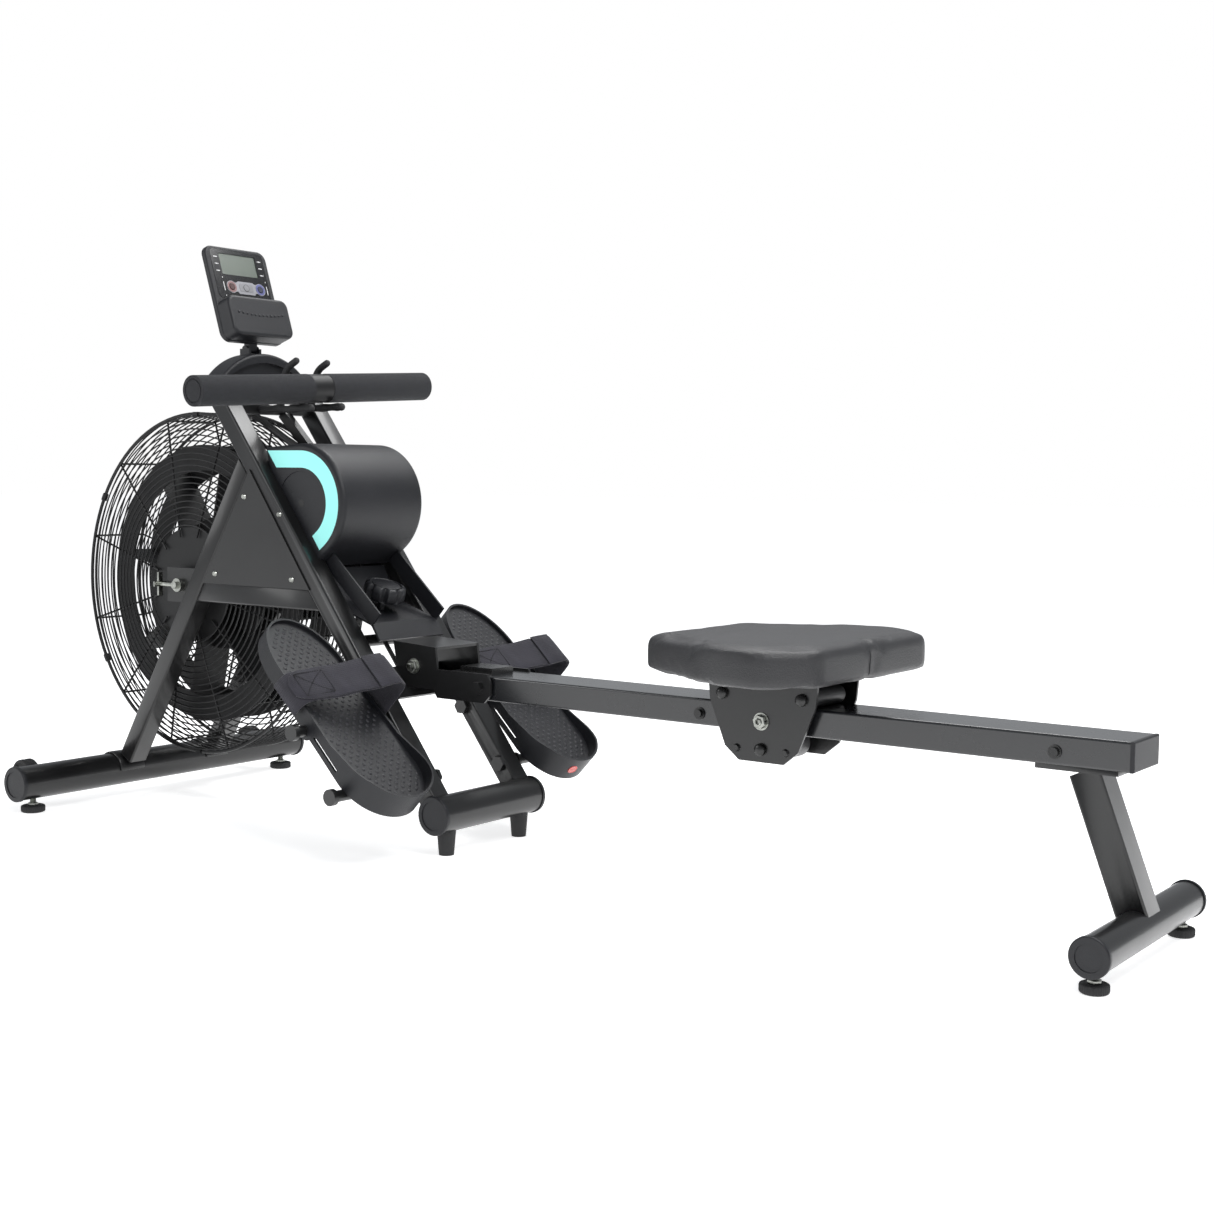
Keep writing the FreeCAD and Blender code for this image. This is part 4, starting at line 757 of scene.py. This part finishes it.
def seat_ring(inset, z):
    """The seat's outline drawn in by an inset, at a height."""
    half = [(-152, 112), (0, 201), (74, 201), (124, 146)]
    corners = half + [(x, -y) for x, y in reversed(half)]
    radii = [22, 130, 60, 48, 48, 60, 130, 22]
    outline = round_outline(corners, radii, 7)
    made = []
    for x, y in outline:
        reach = hypot(x, y)
        share = max(0.0, 1 - inset / reach)
        made.append(at(SEAT_X + x * share, y * share, z))
    return made


def seat_mesh():
    """The pad's skin, from the middle of its underside up its side to the middle of its top."""
    kit = Kit()
    profile = [(150, 299), (60, 298.5), (9, 298.5), (3, 300), (1.6, 304), (1.4, 312), (1.4, 322), (1.6, 331),
               (2.6, 337), (6, 341.6), (12, 344), (30, 344.8), (60, 345.0), (95, 345.0), (150, 345.0)]
    kit.grid([seat_ring(inset, z) for inset, z in profile], close_u=True, cap=True)
    return kit


def seat():
    """A firm vinyl pad, blown up a little by a cloth run so that its top crowns and its sides round."""
    kit = seat_mesh()
    obj = kit.piece("seat_pad", FINISH["seat_vinyl"], None, "seat_vinyl", smooth=180)
    remesh = obj.modifiers.new("remesh", "REMESH")
    remesh.mode = "VOXEL"
    remesh.voxel_size = SEAT_VOXEL
    remesh.use_smooth_shade = True
    bake(obj)
    rest = [v.co.copy() for v in obj.data.vertices]
    cloth = obj.modifiers.new("cloth", "CLOTH")
    cloth.settings.quality = 6
    cloth.settings.mass = 0.3
    cloth.settings.tension_stiffness = 60
    cloth.settings.compression_stiffness = 60
    cloth.settings.bending_stiffness = 12
    cloth.settings.use_pressure = True
    cloth.settings.uniform_pressure_force = 2.5
    cloth.settings.effector_weights.gravity = 0
    cloth.point_cache.frame_start = 1
    cloth.point_cache.frame_end = CLOTH_FRAMES
    for step in range(1, CLOTH_FRAMES + 1):
        bpy.context.scene.frame_set(step)
    bake(obj)
    bpy.context.scene.frame_set(1)
    for v, old in zip(obj.data.vertices, rest):
        move = v.co - old
        move.xy *= SIDE_SHARE
        if move.length > MOST_MOVE:
            move *= MOST_MOVE / move.length
        v.co = old + move
        v.co.z = max(v.co.z, UNDERSIDE_Z)
        crease = noise.noise(v.co * 9.0) * 0.0006 + noise.noise(v.co * 32.0) * 0.00022
        v.co.z += crease if v.co.z > 0.33 else 0.0
    extra = obj.modifiers.new("finer", "SUBSURF")
    extra.levels = extra.render_levels = 1
    bake(obj)
    for face in obj.data.polygons:
        face.use_smooth = True
    rear_seam(obj)
    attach(obj, "seat")
    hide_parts("seat_cushion")


def rear_seam(pad):
    """The raised joint of the cover in the middle of the pad's rear end."""
    kit = Kit()
    line = []
    for k in range(12):
        far = at(SEAT_X + 200, SEAM_Y, 304 + 31 * k / 11)
        hit, place, _, _ = pad.ray_cast(far, Vector((-1, 0, 0)))
        if hit:
            line.append(place + Vector((0.0003, 0.0006 * sin(k * 0.9), 0)))
    kit.tube(line, lambda t: (0.25 + 0.6 * sin(pi * t)) * MM, 8)
    kit.piece("seat_seam", FINISH["seat_vinyl"], "seat", "seat_vinyl", smooth=60)


def bake(obj):
    """Applies the object's modifiers to its mesh."""
    bpy.context.view_layer.update()
    shown = obj.evaluated_get(bpy.context.evaluated_depsgraph_get())
    data = bpy.data.meshes.new_from_object(shown)
    old = obj.data
    obj.modifiers.clear()
    obj.data = data
    bpy.data.meshes.remove(old)


seat()

# ---- tension knob ----

KNOB_LEAN = radians(18.0)


def knob():
    """An eight-lobed knob with a rounded skirt and a cap let into its top."""
    axis = Vector((sin(KNOB_LEAN), 0, cos(KNOB_LEAN)))
    centre = at(524, 0, 368)
    kit = Kit()

    def lobes(t, radius, height):
        if height < -0.0115 or radius < 0.027:
            return radius
        return radius - 0.0058 * max(0.0, cos(8 * t)) ** 1.2

    rows = [(5.5, -44), (5.5, -12.2), (14, -12), (29, -12), (31.5, -10.5), (32.5, -6), (32.8, 2),
            (31.8, 8), (29, 10.8), (25.5, 11.8), (24.6, 11.2), (24, 9.6), (22.6, 9.4), (21.8, 11.0),
            (15, 12.3), (0.5, 12.6)]
    kit.turned([(r * MM, h * MM) for r, h in rows], centre, axis, sides=96, shape=lobes)
    obj = kit.piece("knob_grip", FINISH["shell_plastic"], "knob", "gloss_black", smooth=50)
    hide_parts("tension_knob")


knob()

# ---- feet and wheels ----

KNURLS = 36
THREAD_PITCH = 0.0012
THREAD_START = 0.0146


def foot(node):
    """A knurled levelling foot in the place of its CAD node; its body has the same name."""
    low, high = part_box(node)
    centre = Vector(((low.x + high.x) / 2, (low.y + high.y) / 2, 0))
    radius = (high.x - low.x) / 2
    kit = Kit()

    def knurl(t, r, _):
        return r - 0.0007 * (0.5 + 0.5 * cos(KNURLS * t)) if r > radius * 0.93 else r

    rows = [(radius - 0.0022, 0.0), (radius - 0.0006, 0.0010), (radius, 0.0022), (radius, 0.0088),
            (radius - 0.0008, 0.0102), (radius - 0.0030, 0.0110), (0.006, 0.0110)]
    kit.turned(rows, centre, (0, 0, 1), sides=KNURLS * 4, shape=knurl)
    obj = kit.piece(f"pad_{node}", FINISH["rubber"], node, "rubber", smooth=60)
    kit = Kit()
    nut = [(0.0079, 0.0112), (0.0084, 0.0118), (0.0084, 0.0140), (0.0079, THREAD_START)]
    kit.turned(nut, centre, (0, 0, 1), sides=6)
    rows = []
    turns = int((high.z - THREAD_START) / THREAD_PITCH)
    for k in range(turns):
        base = THREAD_START + k * THREAD_PITCH
        rows += [(0.0044, base), (0.0050, base + 0.0006)]
    kit.turned(rows, centre, (0, 0, 1), sides=20)
    kit.piece(f"stud_{node}", FINISH["zinc"], node, "zinc", smooth=30)
    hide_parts(node)


for place_name in ("front_left", "front_right", "rear_left", "rear_right"):
    foot(f"foot_{place_name}")


def wheel(name):
    """A moulded transport wheel with a ribbed tread and a hub."""
    node = f"wheel_{name}"
    low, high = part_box(node)
    centre = (low + high) / 2
    radius, half = (high.x - low.x) / 2, (high.y - low.y) / 2
    kit = Kit()
    rows = [(0.0045, -half + 0.001), (0.009, -half + 0.0008), (0.0095, -half + 0.003),
            (radius - 0.007, -half + 0.003), (radius - 0.0055, -half), (radius - 0.0018, -half + 0.0004),
            (radius - 0.0002, -half + 0.0022), (radius, -0.0035), (radius - 0.0012, -0.0028),
            (radius - 0.0012, 0.0028), (radius, 0.0035)]
    rows += [(r, -h) for r, h in reversed(rows[:7])]
    kit.turned(rows, centre, (0, 1, 0), sides=48)
    obj = kit.piece(f"tread_{node}", FINISH["rubber"], node, "rubber", smooth=40)
    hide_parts(node)


wheel("left")
wheel("right")

# ---- cords ----

def smooth_cord(name, route, radius, finish, body, slot, **facts):
    """A cord on one smooth spline through its own few points."""
    curve = bpy.data.curves.new(name, "CURVE")
    curve.dimensions = "3D"
    curve.bevel_depth = radius
    curve.bevel_resolution = 5
    curve.resolution_u = 24
    spline = curve.splines.new("NURBS")
    spline.points.add(len(route) - 1)
    for point, place in zip(spline.points, route):
        point.co = (*place, 1)
    spline.order_u = 3
    spline.use_endpoint_u = True
    curve.materials.append(finish)
    obj = bpy.data.objects.new(name, curve)
    bpy.context.scene.collection.objects.link(obj)
    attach(obj, body)
    return obj


RETURN_ROUTE = [(494, 310), (504, 336), (529, 328), (612, 217)]
RETURN_Y = -30
elastic = smooth_cord("return_cord_elastic", [at(x, RETURN_Y, z) for x, z in RETURN_ROUTE], 0.0035,
                      FINISH["elastic"], "frame", "elastic", length=0.176, far_end="object",
                      stiffness="limp", lay="taut")
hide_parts("return_cord")

# ---- pull strap ----

STRAP_W, STRAP_T, WEB_T = 22.0, 2.5, 2.3
GUIDE = (226.0, 662.0, 14.0)
SPOOL = (433.0, 501.5, 27.0)
CLIP = (343.5, 678.0)


def ribbon(name, line, width, thick, body, finish, slot):
    """A flat webbing strap along a line of drawing places in the plane Y = 0."""
    kit = Kit()
    rows, length = [], 0.0
    for i, (x, z) in enumerate(line):
        before, after = line[max(i - 1, 0)], line[min(i + 1, len(line) - 1)]
        ahead = Vector((after[0] - before[0], after[1] - before[1])).normalized()
        if i:
            length += hypot(x - line[i - 1][0], z - line[i - 1][1])
        row = []
        for a, h in ((-1, -0.3), (-0.93, -0.5), (0, -0.5), (0.93, -0.5), (1, -0.3), (1, 0.3), (0.93, 0.5),
                     (0, 0.5), (-0.93, 0.5), (-1, 0.3)):
            row.append(at(x - ahead.y * h * thick, a * width / 2, z + ahead.x * h * thick))
        rows.append((row, length))
    kit.grid([row for row, _ in rows], close_u=True, cap=True,
             uv=lambda r, c: (width * MM * c / 10, rows[min(r, len(rows) - 1)][1] * MM))
    return kit.piece(name, finish, body, slot, smooth=50)


def pull_straps():
    """The strap from the guide roller to the handle, and from the guide roller to the spool."""
    top_z = GUIDE[1] + GUIDE[2] + STRAP_T / 2 + 0.3
    run = [(GUIDE[0] + (CLIP[0] - GUIDE[0]) * k / 40, top_z + (CLIP[1] - top_z) * k / 40) for k in range(41)]
    outer = ribbon("pull_strap_outer", run, STRAP_W, WEB_T, None, FINISH["strap_webbing"], "strap_webbing")
    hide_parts("pull_strap")
    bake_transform(outer)
    off_guide, off_spool = GUIDE[2] + 1.55, SPOOL[2] + 1.55
    dx, dz = SPOOL[0] - GUIDE[0], SPOOL[1] - GUIDE[1]
    lift = (off_guide + off_spool) / hypot(dx, dz)
    angle = atan2(dz, dx) + atan2(lift, (1 - lift * lift) ** 0.5)
    start = (GUIDE[0] + off_guide * sin(angle), GUIDE[1] - off_guide * cos(angle))
    end = (SPOOL[0] - off_spool * sin(angle), SPOOL[1] + off_spool * cos(angle))
    line = [(start[0] + (end[0] - start[0]) * k / 10, start[1] + (end[1] - start[1]) * k / 10)
            for k in range(11)]
    ribbon("pull_strap_inner", line, STRAP_W, WEB_T, "frame", FINISH["strap_webbing"], "strap_webbing")


pull_straps()

# ---- hooks, nuts and small fittings ----

HOOK_WAVE = ((285, 0), (305, -0.4), (325, 0.2), (345, -1.3), (365, -0.6), (385, 0), (398, 0))
PRONG = ((333, 672), (338, 694), (348, 711), (366, 721.5))


def hooks():
    """Two rubber-sleeved hooks: a wavy arm under the handle and a curved prong behind it."""
    for side, word in ((-1, "left"), (1, "right")):
        kit = Kit()
        y = side * 33.0
        arm_z = 680 + y * tan(radians(3.4)) - 29.9
        arm = smooth_line([at(x, y, arm_z + dz) for x, dz in HOOK_WAVE], 5)
        kit.tube(arm, lambda t: (6.0 + 0.5 * sin(t * 23)) * MM, 16)
        kit.turned([(6.3 * MM, 0), (5.4 * MM, 3.2 * MM), (3.4 * MM, 5.4 * MM), (0.5 * MM, 6.3 * MM)],
                   at(398, y, arm_z), (1, 0, 0), 16)
        prong = smooth_line([at(x, y, z) for x, z in ((330, arm_z),) + PRONG], 7)
        kit.tube(prong, lambda t: (6.1 - 0.7 * t) * MM, 16)
        tip, before = prong[-1], prong[-2]
        kit.turned([(5.4 * MM, -0.2 * MM), (5.0 * MM, 2.4 * MM), (3.2 * MM, 4.6 * MM), (0.5 * MM, 5.4 * MM)],
                   tip, tip - before, 16)
        obj = kit.piece(f"hook_sleeve_{word}", FINISH["rubber"], "frame", "rubber", smooth=50)
        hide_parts("handle_hooks")


def heel_reflector():
    """A round red reflector on the outside of the right heel."""
    turn = radians(-12)
    out = (U_AXIS * cos(turn) + V_AXIS * sin(turn)).normalized()
    centre = on_pedal(1, 283 + 70.6 * cos(turn), 70.6 * sin(turn), -5)
    kit = Kit()
    rows = [(8.2, -0.4), (8.2, 0.5), (7.4, 1.1), (6.6, 0.8), (3.0, 1.2), (0.4, 1.3)]
    kit.turned([(r * MM, h * MM) for r, h in rows], centre, out, 28)
    kit.piece("heel_reflector", REFLECTOR, "pedal_right", "button_red")


def hex_nut(kit, base, out, radius, height, stub):
    """A nut on a washer with the end of its bolt showing, at base and facing out."""
    kit.turned([(radius + 2 * MM, 0), (radius + 2 * MM, 1.2 * MM), (radius / 2, 1.2 * MM)], base, out, 28)
    kit.turned([(radius - 0.5 * MM, 1.2 * MM), (radius, 1.9 * MM), (radius, height - 0.8 * MM),
                (radius - 0.8 * MM, height), (radius * 0.55, height), (radius * 0.52, stub),
                (radius * 0.40, stub + 0.6 * MM), (radius * 0.38, height - 1 * MM)], base, out, 6)


def carriage_nuts():
    """The zinc nut in the middle of each carriage plate, and the domed black nuts on the axles."""
    zinc, black = Kit(), Kit()
    for side in (-1, 1):
        y = side * 54.5
        hex_nut(zinc, at(1234, y, 238.5), (0, side, 0), 9.3 * MM, 7.0 * MM, 8.2 * MM)
        for x, z in ((1234 - 58.5, 270.6), (1234 + 58.5, 270.6), (1234, 202.6)):
            dome = [(8.0, 0), (8.0, 3.2), (7.6, 4.6), (7.2, 5.3), (5.4, 6.5), (3.0, 7.2), (0.4, 7.4)]
            black.turned([(r * MM, h * MM) for r, h in dome], at(x, y, z), (0, side, 0), 24)
    zinc.piece("carriage_zinc_nuts", FINISH["zinc"], "seat", "zinc", smooth=25)
    black.piece("carriage_dome_nuts", BLACK_BOLT, "seat", "zinc", smooth=40)


def bracket_nuts():
    """The zinc nuts on the flanks of the rail bracket."""
    kit = Kit()
    for side in (-1, 1):
        hex_nut(kit, at(630, side * 48.5, 264), (0, side, 0), 9.6 * MM, 7.0 * MM, 11.0 * MM)
    kit.piece("bracket_nuts", FINISH["zinc"], "frame", "zinc", smooth=25)


hooks()
heel_reflector()
carriage_nuts()
bracket_nuts()
